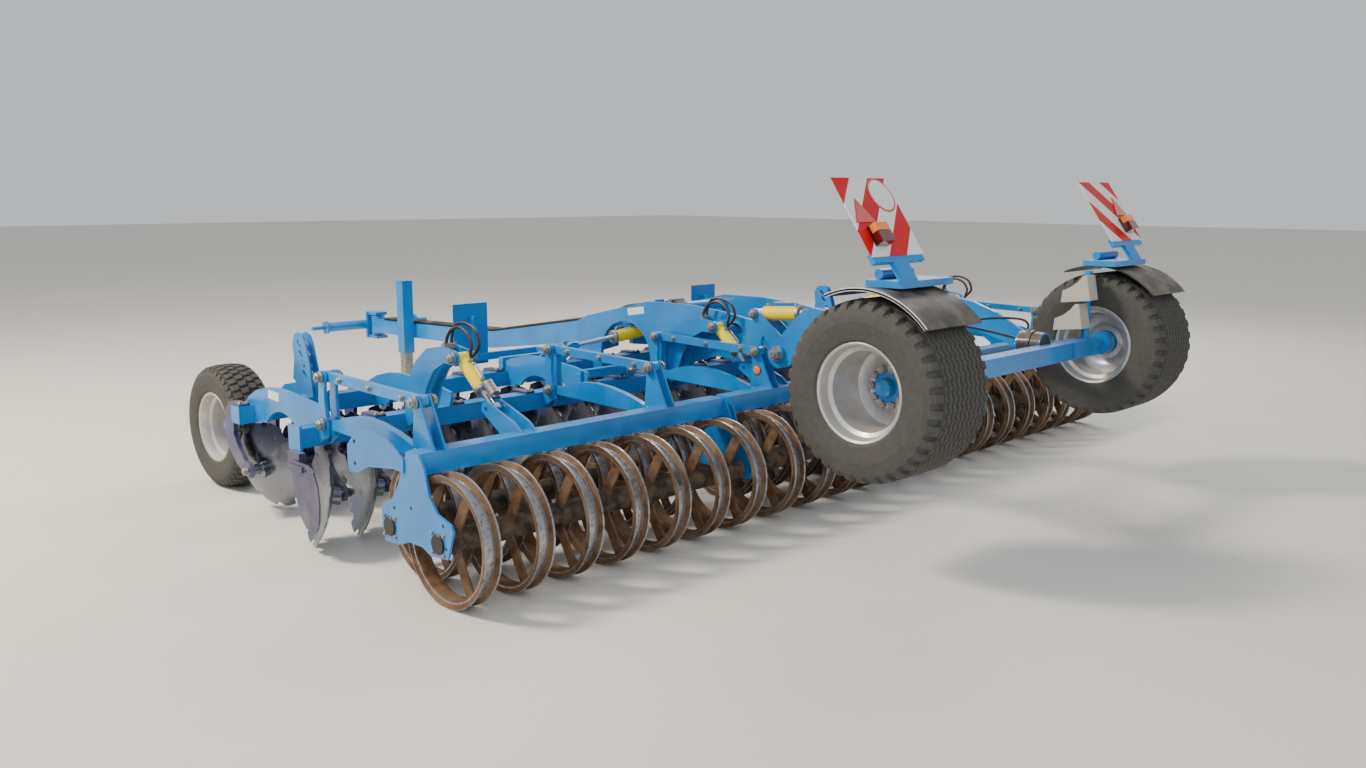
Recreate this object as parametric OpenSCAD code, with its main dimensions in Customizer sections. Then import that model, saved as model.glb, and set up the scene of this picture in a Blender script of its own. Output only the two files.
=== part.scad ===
// Trailed compact disc harrow, 6 m wide, in three 2 m sections with tandem ring rollers.
// X is to the right, Y is the direction of travel, Z is up, and Z = 0 is the floor.

/* [Frame] */
// Side of the square beams that carry the disc arms
beam_s = 100; // [90:2:110]
// Wall of the square beams
beam_wall = 8; // [6:1:12]
// Height of the middle of the beams
beam_z = 585; // [583:1:592]
// Front beam, along the travel
front_beam_y = -70; // [-76:2:-64]
// Rear beam, along the travel
rear_beam_y = -870; // [-876:2:-864]
// Thickness of the arch plates
arch_t = 20; // [12:1:24]
// Height of the top of the middle arches
spine_top_z = 1095; // [1085:1:1100]

/* [Discs] */
// Diameter of a disc
disc_d = 510; // [480:5:510]
// Thickness of a disc
disc_t = 6; // [5:0.5:8]
// Radius of the ball that the dish is cut from
dish_r = 600; // [560:10:700]
// Notches round a disc
disc_notches = 10; // [8:1:12]
// Angle of a disc to the travel
disc_angle = 17; // [14:1:18]
// Lean of a disc
disc_lean = 10; // [6:1:12]
// Height of a disc's middle
disc_z = 272; // [268:1:274]
// Distance between discs along a beam
disc_pitch = 250; // [246:1:252]

/* [Rollers] */
// Diameter of a roller ring
ring_d = 600; // [592:2:600]
// Width of a roller ring
ring_w = 90; // [80:2:94]
// Distance between rings on one tube
ring_pitch = 290; // [286:1:292]
// Diameter of a roller's tube
tube_d = 114; // [102:2:120]
// Side of the square roller beam
roller_beam_s = 100; // [90:2:100]
// Thickness of the roller's end plates
end_plate_t = 12; // [10:1:14]

/* [Wheels] */
// Diameter of a transport tyre
tyre_d = 866; // [850:2:870]
// Width of a transport tyre
tyre_w = 490; // [470:2:496]
// Distance between the middles of the transport wheels
track = 2420; // [2400:5:2440]
// Diameter of a depth wheel
depth_d = 760; // [750:2:760]
// Width of a depth wheel
depth_w = 264; // [240:2:270]

/* [Drawbar] */
// Height of the hitch cross shaft
hitch_z = 560; // [550:2:580]
// Diameter of the hitch pins
hitch_pin_d = 36.6; // [34:0.1:37]
// Distance between the shoulders of the hitch pins
hitch_w = 965; // [940:5:980]

/* [Hidden] */

$fn = 48;
// Running gap between a pin and its bore, and the side gap beside a moving eye
pin_gap = 0.1;
side_gap = 5;
// How far pieces that are welded together reach into each other
seat = 0.3;

// Top and bottom of the beams
beam_top = beam_z + beam_s / 2;
beam_low = beam_z - beam_s / 2;

// Sections: 0 is the left wing, 1 the centre, 2 the right wing
LEFT = 0;
CENTRE = 1;
RIGHT = 2;
centre_half = 985;
seam_gap = 30;
wing_in = centre_half + seam_gap;
// Both rows are the same, turned round, and stand this far off each other's middle
row_shift = 63;
disc_first = 11.5 * disc_pitch + row_shift;
wing_out = disc_first + 72;

// Wing fold axis, along the travel
fold_x = 750;
fold_z = 695;
fold_pin_r = 16;
fold_boss_r = 28;

// Middle arches that stand beside the drawbar
spine_x = 375;
spine_t = 25;
spine_in = spine_x - spine_t / 2;

// Roller axles and beam
roller_front_y = -1720;
roller_rear_y = -2110;
ring_r = ring_d / 2;
roller_beam_y = (roller_front_y + roller_rear_y) / 2 - 10;
roller_beam_z = 628;

// Links between frame and roller: front pins, and the rear pins below them
link_y = -985;
link_top_z = 898;
link_low_z = 657;
link_len = 850;
link_drop = 17;
link_run = sqrt(link_len * link_len - link_drop * link_drop);
link_rear_y = link_y - link_run;
link_t = 36;
link_pin_r = 14;
// Places of the links across each section
link_out = wing_out - 120;
link_xs = [[-link_out, -1437], [-560, 560], [1437, link_out]];

// Depth cylinder of a section: pin on the horn, pin on the roller frame, places across
horn_y = -1395;
horn_z = 984;
eye_y = -1659;
eye_z = 758;
depth_xs = [-2370, -450, 2370];

// Transport axle: pivot tube, wheels, cylinder pins
pivot_y = -2060;
pivot_z = 900;
pivot_r = 50;
wheel_y = -3180;
wheel_z = 905;
carrier_x = track / 2 - tyre_w / 2 - 45;
fin_x = 640;
lift_x = 540;
lift_front = [-1824, 1108];
lift_rear = [-2263, 1136];

// Depth wheels and their arms
depth_x = 2680;
depth_y = 660;

// Fold cylinder: pin in the frame, pin on the wing, both as X from the middle and Z
fold_cyl_y = -470;
fold_from = [100, 870];
fold_to = [870, 810];

// Rear warning boards
board_s = 423;
board_x = track / 2 + 30;
board_y = -3125;
board_z = 1707;
board_lean = 34;

blue = [0.13, 0.52, 0.83];
navy = [0.10, 0.12, 0.22];
steel = [0.62, 0.65, 0.68];
rust = [0.45, 0.30, 0.18];
rubber = [0.13, 0.13, 0.13];
yellow = [0.93, 0.83, 0.20];
zinc = [0.70, 0.71, 0.70];
plastic = [0.22, 0.22, 0.22];

// Helpers

// A plate across X: pts are (Y, Z), t is its thickness and x its middle
module plate_x(x, t) {
    translate([x - t / 2, 0, 0]) rotate([90, 0, 90]) linear_extrude(t) children();
}

// A plate across Y: the 2D shape is in (X, Z)
module plate_y(y, t) {
    translate([0, y + t / 2, 0]) rotate([90, 0, 0]) linear_extrude(t) children();
}

// A round bar along X from x0 to x1 at (y, z)
module bar_x(x0, x1, y, z, r) {
    translate([min(x0, x1), y, z]) rotate([0, 90, 0]) cylinder(r = r, h = abs(x1 - x0));
}

// A round bar along Y
module bar_y(y0, y1, x, z, r) {
    translate([x, min(y0, y1), z]) rotate([-90, 0, 0]) cylinder(r = r, h = abs(y1 - y0));
}

// A box from its lowest corner to its highest
module block(a, b) {
    translate(a) cube(b - a);
}

// A square tube along X with closed ends
module beam_x(x0, x1, y, z, s, wall) {
    h = s / 2;
    difference() {
        block([x0, y - h, z - h], [x1, y + h, z + h]);
        block([x0 + wall, y - h + wall, z - h + wall], [x1 - wall, y + h - wall, z + h - wall]);
    }
}

// A flat strap between two points in 2D with round ends of their own radii
waist = 0.97;
module strap(a, b, ra, rb) {
    d = b - a;
    n = [-d.y, d.x] / norm(d) * waist;
    translate(a) circle(r = ra);
    translate(b) circle(r = rb);
    polygon([a + n * ra, b + n * rb, b - n * rb, a - n * ra]);
}

// The same on both sides of the middle
module both() {
    children();
    mirror([1, 0, 0]) children();
}

// The left wing's piece, or its mirror image for the right wing
module on_side(s) {
    if (s == RIGHT) mirror([1, 0, 0]) children();
    else children();
}

// Centre frame

// Side view of a middle arch, as (Y, Z)
module spine_shape() {
    difference() {
        polygon([
            [30, beam_low - 8], [30, 905], [-80, 950], [-530, 1052], [-700, spine_top_z - 4],
            [-900, spine_top_z], [-1080, spine_top_z], [-1400, 1070], [-2000, 985], [-2110, 985],
            [-2150, 900], [-2110, 830], [-1700, 800], [-1320, 780], [-1120, 720], [-960, beam_low - 8]]);
        translate([-470, 690]) circle(r = 250);
        translate([-720, 455]) square([500, 235]);
        translate([-1480, 935]) circle(r = 75);
        translate([-1760, 905]) circle(r = 60);
        translate([pivot_y, pivot_z]) circle(r = pivot_r + seat);
        // Windows for the beams
        for (y = [front_beam_y, rear_beam_y])
            translate([y, beam_z]) square(beam_s + 2 * seat, center = true);
    }
}

// Lug of a fold hinge on the centre section, as (X, Z)
module hinge_lug() {
    strap([-fold_x, fold_z], [-fold_x, beam_top - 20], fold_boss_r, 26);
}

// Horn that carries the top pin of a depth cylinder, as (Y, Z)
module horn_shape() {
    back = rear_beam_y - beam_s / 2 + seat;
    polygon([
        [back, beam_z - 30], [back, beam_z + 45], [-960, 800], [-1040, 930],
        [-1150, 1010], [-1290, 1035], [horn_y, horn_z + 36], [horn_y, horn_z - 36],
        [-1310, 950], [-1210, 900], [-1140, 800], [-1090, 680], [-1010, 600]]);
    translate([horn_y, horn_z]) circle(r = 38);
}

// Two horn plates with the pin between them, at x
module horn(x) {
    for (s = [-1, 1]) plate_x(x + s * 44, 14) horn_shape();
    bar_x(x - 56, x + 56, horn_y, horn_z, link_pin_r);
}

// Tower for the two front pins of a link, at x
module tower(x) {
    for (s = [-1, 1])
        plate_x(x + s * (link_t / 2 + side_gap + 8), 16) {
            back = rear_beam_y - beam_s / 2 + seat;
            polygon([
                [back, beam_z - 46], [back, beam_z + 46], [link_y + 36, link_low_z],
                [link_y - 36, link_low_z], [link_y - 30, 600]]);
            strap([link_y, link_low_z], [link_y + 10, 780], 36, 30);
            strap([link_y + 10, 780], [link_y, link_top_z], 30, 32);
        }
    for (z = [link_low_z, link_top_z])
        bar_x(x - 46, x + 46, link_y, z, link_pin_r);
}

module centre_frame() {
    color(blue) {
        for (y = [front_beam_y, rear_beam_y])
            beam_x(-centre_half + 15, centre_half - 15, y, beam_z, beam_s, beam_wall);
        both() plate_x(-spine_x, spine_t) spine_shape();
        // Cross tubes that tie the arches
        for (p = [[-700, 1030], [-1250, 930]])
            bar_x(-spine_in + seat, spine_in - seat, p.x, p.y, 35);
        // Tube that the transport axle turns on
        bar_x(-fin_x - 28, fin_x + 28, pivot_y, pivot_z, pivot_r);
        // Fold hinges on both beams
        both() for (y = [front_beam_y, rear_beam_y]) {
            for (s = [-1, 1]) plate_y(y + s * 38, 18) hinge_lug();
            bar_y(y - 52, y + 52, -fold_x, fold_z, fold_pin_r);
        }
        for (x = link_xs[CENTRE]) tower(x);
        horn(depth_xs[CENTRE]);
        fold_anchor();
        both() lift_lug();
    }
}

// Plates in the middle that hold the inner pins of both fold cylinders
module fold_anchor() {
    for (s = [-1, 1])
        plate_y(fold_cyl_y + s * 56, 14) {
            translate([-150, 820]) square([300, 100]);
            translate([-45, 820]) square([90, 240]);
        }
    both() bar_y(fold_cyl_y - 68, fold_cyl_y + 68, -fold_from.x, fold_from.y, link_pin_r);
    block([-spine_in + seat, fold_cyl_y - 70, 985], [spine_in - seat, fold_cyl_y + 70, 1015]);
}

// Plates on the pivot tube that hold the front pin of a lift cylinder
module lift_lug() {
    for (s = [-1, 1])
        plate_x(-lift_x + s * 54, 12)
            strap(lift_front, [pivot_y, pivot_z], 34, 62);
    bar_x(-lift_x - 66, -lift_x + 66, lift_front.x, lift_front.y, link_pin_r);
}

// Wings

// Side view of a wing's arch plate, as (Y, Z)
module arch_shape() {
    low = beam_low - 2;
    difference() {
        polygon([
            [front_beam_y + 50, low], [front_beam_y + 60, 640], [-60, 680], [-160, 725],
            [-290, 755], [-400, 765], [-560, 760], [-800, 738], [-930, 715], [-940, 690],
            [-900, 570], [-860, low], [-700, low], [-660, low + 10], [-200, low + 10], [-130, low]]);
        translate([-440, 400]) circle(r = 238);
        translate([-678, 380]) square([476, low - 360]);
    }
}

// Places of a wing's arch plates, between the arms of both rows
arch_xs = [-(wing_out - 135), -2125, -1125];

module wing(s) {
    beam_in = wing_in + 5;
    color(blue) on_side(s) {
        beam_x(-(wing_out - 35), -beam_in, front_beam_y, beam_z, beam_s, beam_wall);
        beam_x(-(wing_out + 20), -beam_in, rear_beam_y, beam_z, beam_s, beam_wall);
        plate_x(-(wing_out + 15), 14) translate([rear_beam_y - 60, beam_z - 65]) square([120, 130]);
        for (x = arch_xs) plate_x(x, arch_t) arch_shape();
        // Arms that reach over the centre beams to the hinge pins
        for (y = [front_beam_y, rear_beam_y]) wing_hinge(y);
        for (x = link_xs[LEFT]) tower(x);
        horn(depth_xs[LEFT]);
        // Plates that hold the outer pin of the fold cylinder
        for (q = [-1, 1])
            plate_y(fold_cyl_y + q * 42, 12)
                polygon([
                    [-1125, 650], [-1125, 750], [-1060, 790], [-890, 842], [-850, 838], [-838, 810],
                    [-850, 785], [-920, 760], [-1040, 690], [-1110, 648]]);
        block([-1116, fold_cyl_y - 48, 652], [-1060, fold_cyl_y + 48, 740]);
        depth_wheel_arm();
    }
}

// Arm of a fold hinge on the wing, between the lugs of the centre section
module wing_hinge(y) {
    difference() {
        plate_y(y, 48)
            union() {
                strap([-fold_x, fold_z], [-1125, fold_z], fold_boss_r, 28);
                translate([-1150, beam_top - 1]) square([50, fold_z + 28 - beam_top]);
            }
        bar_y(y - 60, y + 60, -fold_x, fold_z, fold_pin_r + pin_gap);
    }
}

// Arm and slotted tower of a depth wheel, on the wing's front beam
module depth_wheel_arm() {
    x = -2500;
    plate_x(x, 24) {
        strap([front_beam_y + 10, 690], [250, 620], 40, 46);
        strap([250, 620], [depth_y, depth_d / 2], 46, 42);
    }
    block([x - 12, front_beam_y - 40, beam_top - 1], [x + 12, front_beam_y + 45, 690]);
    for (q = [-1, 1])
        plate_x(x + q * 23, 10)
            difference() {
                polygon([
                    [-115, beam_top - 1], [-95, 800], [-50, 940], [-20, 985], [30, 1000], [80, 985],
                    [105, 930], [95, 840], [120, 720], [-20, beam_top - 1]]);
                for (i = [0:3]) tower_slot(-30 + i * 18, 760 + i * 58);
            }
    block([x - 28, -20, 810], [x + 28, 20, 835]);
    bar_x(x - 12, -depth_x - 10, depth_y, depth_d / 2, 28);
}

module tower_slot(y, z) {
    strap([y - 14, z - 12], [y + 14, z + 12], 9, 9.5);
}

// Discs

// Arm places of a row: front rows start at the left, rear rows at the right
function arm_xs(section, rear) = [
    for (i = [0:7]) let (n = (rear ? 2 - section : section) * 8 + i)
        (rear ? 1 : -1) * (disc_first - n * disc_pitch)];
// Rows as (middle of the hubs along Y, beam along Y, side that the arm stands on)
arm_drop = 80;
hub_gap = 85;
rows = [[front_beam_y - arm_drop, front_beam_y, 0], [rear_beam_y - arm_drop, rear_beam_y, 1]];

// One arm, standing at x = 0 and reaching to its hub on the +X side
module disc_arm(y_beam) {
    y_hub = y_beam - arm_drop;
    top = beam_top;
    front = y_beam + beam_s / 2;
    plate_x(0, 26)
        polygon([
            [front, top + 12], [front + 50, top + 12], [front + 120, top - 30],
            [front + 150, 480], [front + 120, 380], [front + 40, 300], [y_hub + 60, disc_z - 34],
            [y_hub, disc_z - 42], [y_hub - 36, disc_z], [y_hub, disc_z + 40],
            [y_hub + 50, disc_z + 50], [front - 10, 390], [front + 40, 460], [front + 30, 540],
            [front, top - 60]]);
    block([-32, y_beam - 45, top], [32, front + 50, top + 12]);
    block([-32, front, beam_z - 20], [32, front + 18, top + seat]);
}

// A disc with its hub, standing at the arm's x = 0, throwing towards +X
module disc_hub(y_hub) {
    translate([hub_gap, y_hub, disc_z])
        rotate([0, 0, disc_angle]) rotate([0, -disc_lean, 0]) {
            translate([-50, 0, 0]) rotate([0, 90, 0]) cylinder(r = 46, h = 49);
            notched_disc();
        }
    bar_x(13, 45, y_hub, disc_z, 24);
    bar_x(-28, -13, y_hub, disc_z, 24);
}

// Dished disc with notches, its middle at the origin and its hollow towards +X
module notched_disc() {
    r = disc_d / 2;
    depth = dish_r - sqrt(dish_r * dish_r - r * r);
    intersection() {
        translate([dish_r - 4, 0, 0]) difference() {
            sphere(r = dish_r, $fn = 96);
            sphere(r = dish_r - disc_t, $fn = 96);
        }
        rotate([0, 90, 0]) translate([0, 0, -30]) linear_extrude(depth + 60)
            difference() {
                circle(r = r, $fn = 96);
                for (i = [0:disc_notches - 1])
                    rotate(i * 360 / disc_notches) translate([r + 8, 0]) circle(r = 34);
            }
    }
}

module arms(section) {
    color(navy) {
        for (row = rows, x = arm_xs(section, row[2] == 1))
            translate([x, 0, 0]) mirror([row[2], 0, 0]) disc_arm(row[1]);
        if (section == LEFT) deflector();
    }
}

module discs(section) {
    color(steel)
        for (row = rows, x = arm_xs(section, row[2] == 1))
            translate([x, 0, 0]) mirror([row[2], 0, 0]) disc_hub(row[0]);
}

// Blade beside the last rear disc that keeps the soil in
module deflector() {
    x = -(wing_out + 40);
    block([x - 6, rear_beam_y - 90, 430], [x + 32, rear_beam_y + 30, beam_z - 65]);
    translate([x, rear_beam_y, 0]) {
        plate_x(-14, 8)
            difference() {
                polygon([
                    [-10, 475], [-40, 482], [-190, 482], [-250, 455], [-285, 390], [-296, 300],
                    [-286, 210], [-262, 160], [-225, 140], [-150, 150], [-100, 200], [-50, 320]]);
                for (y = [-40, -85, -130, -175]) translate([y, 450]) circle(r = 8);
            }
        block([-26, -150, 436], [2, -20, 464]);
    }
}

// Rollers

// Ring places: the rear tube has one more than the front one
rotor_end = end_plate_t + 30;
function ring_xs(section, rear) =
    let (half = section == CENTRE ? centre_half : (wing_out - wing_in) / 2,
         n = floor((2 * (half - rotor_end) - ring_w) / ring_pitch) + (rear ? 1 : 0),
         middle = section == CENTRE ? 0 : -(wing_out + wing_in) / 2 - 52.5)
    [for (i = [0:n - 1]) middle + (i - (n - 1) / 2) * ring_pitch];

// One U-shaped ring round X
module ring(r) {
    w = ring_w / 2;
    rotate([0, 90, 0]) rotate_extrude($fn = 72)
        polygon([[r - 38, -w + 12], [r - 38, w - 12], [r, w], [r, w - 9], [r - 28, w - 20],
                 [r - 28, -w + 20], [r, -w + 9], [r, -w]]);
}

module rotor(section, rear) {
    y = rear ? roller_rear_y : roller_front_y;
    half = section == CENTRE ? centre_half : (wing_out - wing_in) / 2;
    mid = section == CENTRE ? 0 : -(wing_out + wing_in) / 2;
    reach = half - rotor_end;
    color(rust) on_side(section) translate([0, y, ring_r]) {
        bar_x(mid - reach, mid + reach, 0, 0, tube_d / 2);
        bar_x(mid - half - 4, mid + half + 4, 0, 0, 20);
        for (x = ring_xs(section, rear)) translate([x, 0, 0])
            difference() {
                union() {
                    ring(ring_r);
                    for (a = [30, 150, 270]) rotate([a, 0, 0])
                        block([-6, -28, tube_d / 2 - 12], [6, 28, ring_r - 38 + 6]);
                }
                bar_x(-ring_w, ring_w, 0, 0, tube_d / 2 + seat);
            }
    }
}

// Outline of an outer end plate, as (Y, Z)
module end_plate_shape() {
    polygon([
        [-1878, 676], [-1972, 676], [-2013, 617], [-2050, 500], [-2110, 432], [-2210, 404],
        [-2226, 380], [-2179, 244], [-2049, 232], [-1980, 258], [-1879, 257], [-1787, 226],
        [-1672, 221], [-1647, 349], [-1657, 380], [-1748, 440], [-1800, 510], [-1840, 600]]);
}

// Bolt holes of an end plate, as (Y, Z)
end_holes = [[-2150, 390], [-2170, 290], [-1700, 262], [-1760, 395], [-1900, 420]];

// Rounded shield in front of the outer end plate
module shield_shape() {
    polygon([
        [-1374, 630], [-1440, 690], [-1540, 722], [-1640, 726], [-1740, 706], [-1860, 640],
        [-1860, 575], [-1778, 581], [-1560, 552], [-1470, 510], [-1391, 500], [-1372, 540]]);
}

// Roller frame with its beam, end plates, uprights and cylinder bracket
module roller_frame(section) {
    x0 = section == CENTRE ? -centre_half : -wing_out;
    x1 = section == CENTRE ? centre_half : -wing_in;
    s = roller_beam_s / 2;
    t = end_plate_t;
    xs = section == CENTRE ? link_xs[CENTRE] : link_xs[LEFT];
    dx = section == CENTRE ? depth_xs[CENTRE] : depth_xs[LEFT];
    color(blue) on_side(section) {
        beam_x(x0 + t - seat, x1 - t + seat, roller_beam_y, roller_beam_z, roller_beam_s, beam_wall);
        for (x = [x0 + t / 2, x1 - t / 2])
            difference() {
                plate_x(x, t) end_plate_shape();
                for (y = [roller_front_y, roller_rear_y])
                    bar_x(x - t, x + t, y, ring_r, 20 + pin_gap);
                for (p = end_holes) bar_x(x - t, x + t, p.x, p.y, 9);
            }
        if (section != CENTRE)
            plate_x(x0 - 4 + seat, 8)
                difference() {
                    shield_shape();
                    for (p = [[-1440, 655], [-1440, 548]]) translate(p) circle(r = 11);
                }
        for (x = xs) roller_upright(x);
        for (q = [-1, 1])
            plate_x(dx + q * 42, 12)
                difference() {
                    polygon([
                        [roller_beam_y - 20, 678 - seat], [roller_beam_y + s, 600],
                        [roller_beam_y + s + 90, 640], [eye_y + 42, eye_z - 10], [eye_y + 30, eye_z + 30],
                        [eye_y, eye_z + 40], [eye_y - 60, eye_z + 20], [roller_beam_y + 40, 720]]);
                    translate([eye_y, eye_z]) circle(r = 10);
                }
    }
}

// Plates on the roller beam that hold the rear pins of a link pair
module roller_upright(x) {
    low = link_low_z - link_drop;
    top = link_top_z - link_drop;
    for (q = [-1, 1])
        plate_x(x + q * (link_t / 2 + side_gap + 6), 12)
            polygon([
                [link_rear_y + 34, low - 30], [link_rear_y + 36, low + 30], [link_rear_y + 22, top - 60],
                [link_rear_y + 30, top], [link_rear_y + 15, top + 28], [link_rear_y - 15, top + 30],
                [link_rear_y - 34, top], [roller_beam_y - 20, 720], [roller_beam_y - 45, 678 - seat],
                [roller_beam_y + 50 - seat, 678 - seat], [roller_beam_y + 50 - seat, low - 30]]);
    for (z = [low, top])
        bar_x(x - 44, x + 44, link_rear_y, z, link_pin_r);
}

// Links

// Height of the curved back of a lower link over its pins' line, along its length
link_back = [[0.10, 24], [0.20, 58], [0.32, 80], [0.46, 90], [0.60, 84], [0.74, 66], [0.87, 40], [0.96, 18]];

// A bar with two eyes between the front and rear pins at height z, in 2D
module link_shape(z, w, bulge) {
    difference() {
        union() {
            strap([link_y, z], [link_rear_y, z - link_drop], w, w);
            if (bulge)
                polygon(concat(
                    [[link_y, z], [link_rear_y, z - link_drop]],
                    [for (i = [len(link_back) - 1:-1:0]) let (t = link_back[i].x)
                        [link_y - t * link_run, z - t * link_drop + link_back[i].y]]));
            translate([link_y, z]) circle(r = 30);
            translate([link_rear_y, z - link_drop]) circle(r = 30);
        }
        translate([link_y, z]) circle(r = link_pin_r + pin_gap);
        translate([link_rear_y, z - link_drop]) circle(r = link_pin_r + pin_gap);
    }
}

module links(section, z, w, bulge) {
    color(blue)
        for (x = link_xs[section]) plate_x(x, link_t) link_shape(z, w, bulge);
}

// Cylinders, in a frame where the pin is the origin and the rod runs towards +Y

// Barrel with its eye, for a cylinder whose eyes stand `long` apart
module barrel(r, body, eye_w) {
    difference() {
        union() {
            bar_x(-eye_w / 2, eye_w / 2, 0, 0, 27);
            bar_y(20, 45, 0, 0, 22);
            bar_y(40, 40 + body, 0, 0, r);
        }
        bar_x(-eye_w, eye_w, 0, 0, link_pin_r + pin_gap);
        bar_y(60, 40 + body + 1, 0, 0, r - 8);
    }
}

// Rod with its piston inside the barrel and its eye at the end
module rod(r, start, long, eye_w) {
    bar_y(start, start + 18, 0, 0, r);
    bar_y(start + 10, long - 15, 0, 0, 16);
    bar_x(-eye_w / 2, eye_w / 2, long, 0, 26);
}

// Turns a cylinder along Y into the line between two points of the side view
module side_line(x, from, to) {
    d = to - from;
    translate([x, from.x, from.y]) rotate([atan2(d.y, d.x), 0, 0]) children();
}

depth_len = norm([eye_y - horn_y, eye_z - horn_z]);
lift_len = norm(lift_rear - lift_front);
fold_len = norm(fold_to - fold_from);

module depth_barrel(section) {
    color(yellow)
        side_line(depth_xs[section], [horn_y, horn_z], [eye_y, eye_z]) barrel(36, 185, 60);
}

module depth_rod(section) {
    color(zinc)
        side_line(depth_xs[section], [horn_y, horn_z], [eye_y, eye_z])
            rod(27.7, 150, depth_len, 60);
}

// A fold cylinder lies across the travel
module fold_line(s) {
    d = fold_to - fold_from;
    on_side(s)
        translate([-fold_from.x, fold_cyl_y, fold_from.y])
            rotate([0, atan2(d.y, d.x), 0]) rotate([0, 0, 90]) children();
}

module fold_barrel(s) {
    color(yellow) fold_line(s) barrel(42, 360, 84);
}

module fold_rod(s) {
    color(zinc) fold_line(s) rod(33.7, 350, fold_len, 60);
}

module axle_barrels() {
    color(yellow) both() side_line(-lift_x, lift_front, lift_rear) barrel(42, 265, 84);
}

module axle_rods() {
    color(zinc) both() side_line(-lift_x, lift_front, lift_rear) rod(33.7, 100, lift_len, 60);
}

// Transport axle

// Side view of an axle arm, as (Y, Z)
module fin_shape() {
    difference() {
        union() {
            polygon([
                [pivot_y + 10, 975], [-2150, 1090], [-2230, 1160], [-2300, 1180], [-2420, 1172],
                [-2560, 1150], [-2720, 1095], [-2860, 1020], [-3010, 955], [-3240, 955], [-3240, 865],
                [-2960, 850], [-2760, 930], [-2560, 985], [-2420, 985], [-2260, 930], [-2130, 830],
                [pivot_y, 826]]);
            translate([pivot_y, pivot_z]) circle(r = 84);
        }
        translate([pivot_y, pivot_z]) circle(r = pivot_r + pin_gap);
        for (p = [[-2330, 1040], [-2440, 1090]]) translate(p) circle(r = 16);
    }
}

module axle() {
    s = 50;
    color(blue) {
        both() {
            plate_x(-fin_x, 25) fin_shape();
            // Plates that hold the rear pin of the lift cylinder
            for (q = [-1, 1])
                plate_x(-lift_x + q * 42, 12)
                    difference() {
                        strap(lift_rear, [-2420, 1060], 36, 60);
                        translate(lift_rear) circle(r = 10);
                    }
            bar_x(-fin_x + 12, -lift_x - 30, -2420, 1060, 40);
            // Stub axle and hub flange
            bar_x(-carrier_x + 20, -track / 2 - 5, wheel_y, wheel_z, 34);
            bar_x(-track / 2 + 60, -track / 2 + 130, wheel_y, wheel_z, 70);
            carrier_tube();
            block([-track / 2 - 120, -3330, wheel_z + guard_r + seat], [-carrier_x + 20, -3130, carrier_top]);
        }
        beam_x(-carrier_x - 20, carrier_x + 20, wheel_y, wheel_z, 2 * s, beam_wall);
        // Step rail and brake chambers between the arms
        block([-fin_x + 12, -2440, 1000], [fin_x - 12, -2400, 1040]);
    }
    color(zinc) both() {
        bar_y(wheel_y + 40, wheel_y + 190, -450, wheel_z + 40, 75);
    }
}

// Bent tube that carries a mudguard and a board, from the axle up and out over the tyre
carrier_r = 24;
carrier_bend = 90;
carrier_y = wheel_y + 20;
module carrier_tube() {
    z = carrier_top + carrier_r - seat;
    translate([-carrier_x, carrier_y, wheel_z + 40])
        cylinder(r = carrier_r, h = z - carrier_bend - wheel_z - 39);
    translate([-carrier_x - carrier_bend, carrier_y, z - carrier_bend]) rotate([90, 0, 0])
        rotate_extrude(angle = 90) translate([carrier_bend, 0]) circle(r = carrier_r);
    bar_x(-track / 2 - 60, 1 - carrier_x - carrier_bend, carrier_y, z, carrier_r);
}

// Curved guard over a transport wheel
guard_r = tyre_d / 2 + 50;
carrier_top = wheel_z + guard_r + 32;
module mudguards() {
    from = 65;
    to = 138;
    color(plastic) both()
        translate([10 - (track + tyre_w) / 2, wheel_y, wheel_z]) rotate([90, 0, 90])
            linear_extrude(tyre_w - 20)
                difference() {
                    polygon([
                        [0, 0], 700 * [cos(from), sin(from)], 700 * [cos(80), sin(80)],
                        700 * [cos(100), sin(100)], 700 * [cos(120), sin(120)], 700 * [cos(to), sin(to)]]);
                    circle(r = guard_r - 8, $fn = 96);
                    difference() {
                        circle(r = 800);
                        circle(r = guard_r, $fn = 96);
                    }
                }
}

// Square boards that lean forward
module board_frame(x) {
    translate([x, board_y, board_z]) rotate([-board_lean, 0, 0]) children();
}

module rear_boards() {
    h = board_s / 2;
    color("white") both() board_frame(-board_x) {
        block([-h, -2, -h], [h, 2, h]);
        block([-h + 10, 2 - seat, -h - 30], [h - 10, 26, -h + 20]);
    }
    // Post that stands on the carrier
    color(blue) both() difference() {
        board_frame(-board_x) block([-60, 2 - seat, -h - 160], [60, 26, -h]);
        block([-board_x - 100, -3500, 1300], [-board_x + 100, -3000, carrier_top]);
    }
}

module lamps() {
    color("red") both() board_frame(-board_x - 90) {
        block([-48, -52, -160], [48, -2 - seat, -104]);
        block([-48, -52, -101], [48, -2 - seat, -60]);
    }
}

module wheel_chocks() {
    color(zinc) both()
        for (i = [0, 1])
            plate_x(carrier_r + seat + 55 - carrier_x, 110)
                translate([-40 * i, 170 * i])
                    polygon([
                        [-3020, 1000], [-3200, 1020], [-3172, 1165], [-3150, 1165], [-3120, 1128],
                        [-3080, 1096], [-3026, 1070]]);
}

// Wheels

// Depth of the tread, and the length of a lug along the tread
tread = 14;
lug_len = 40;

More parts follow.
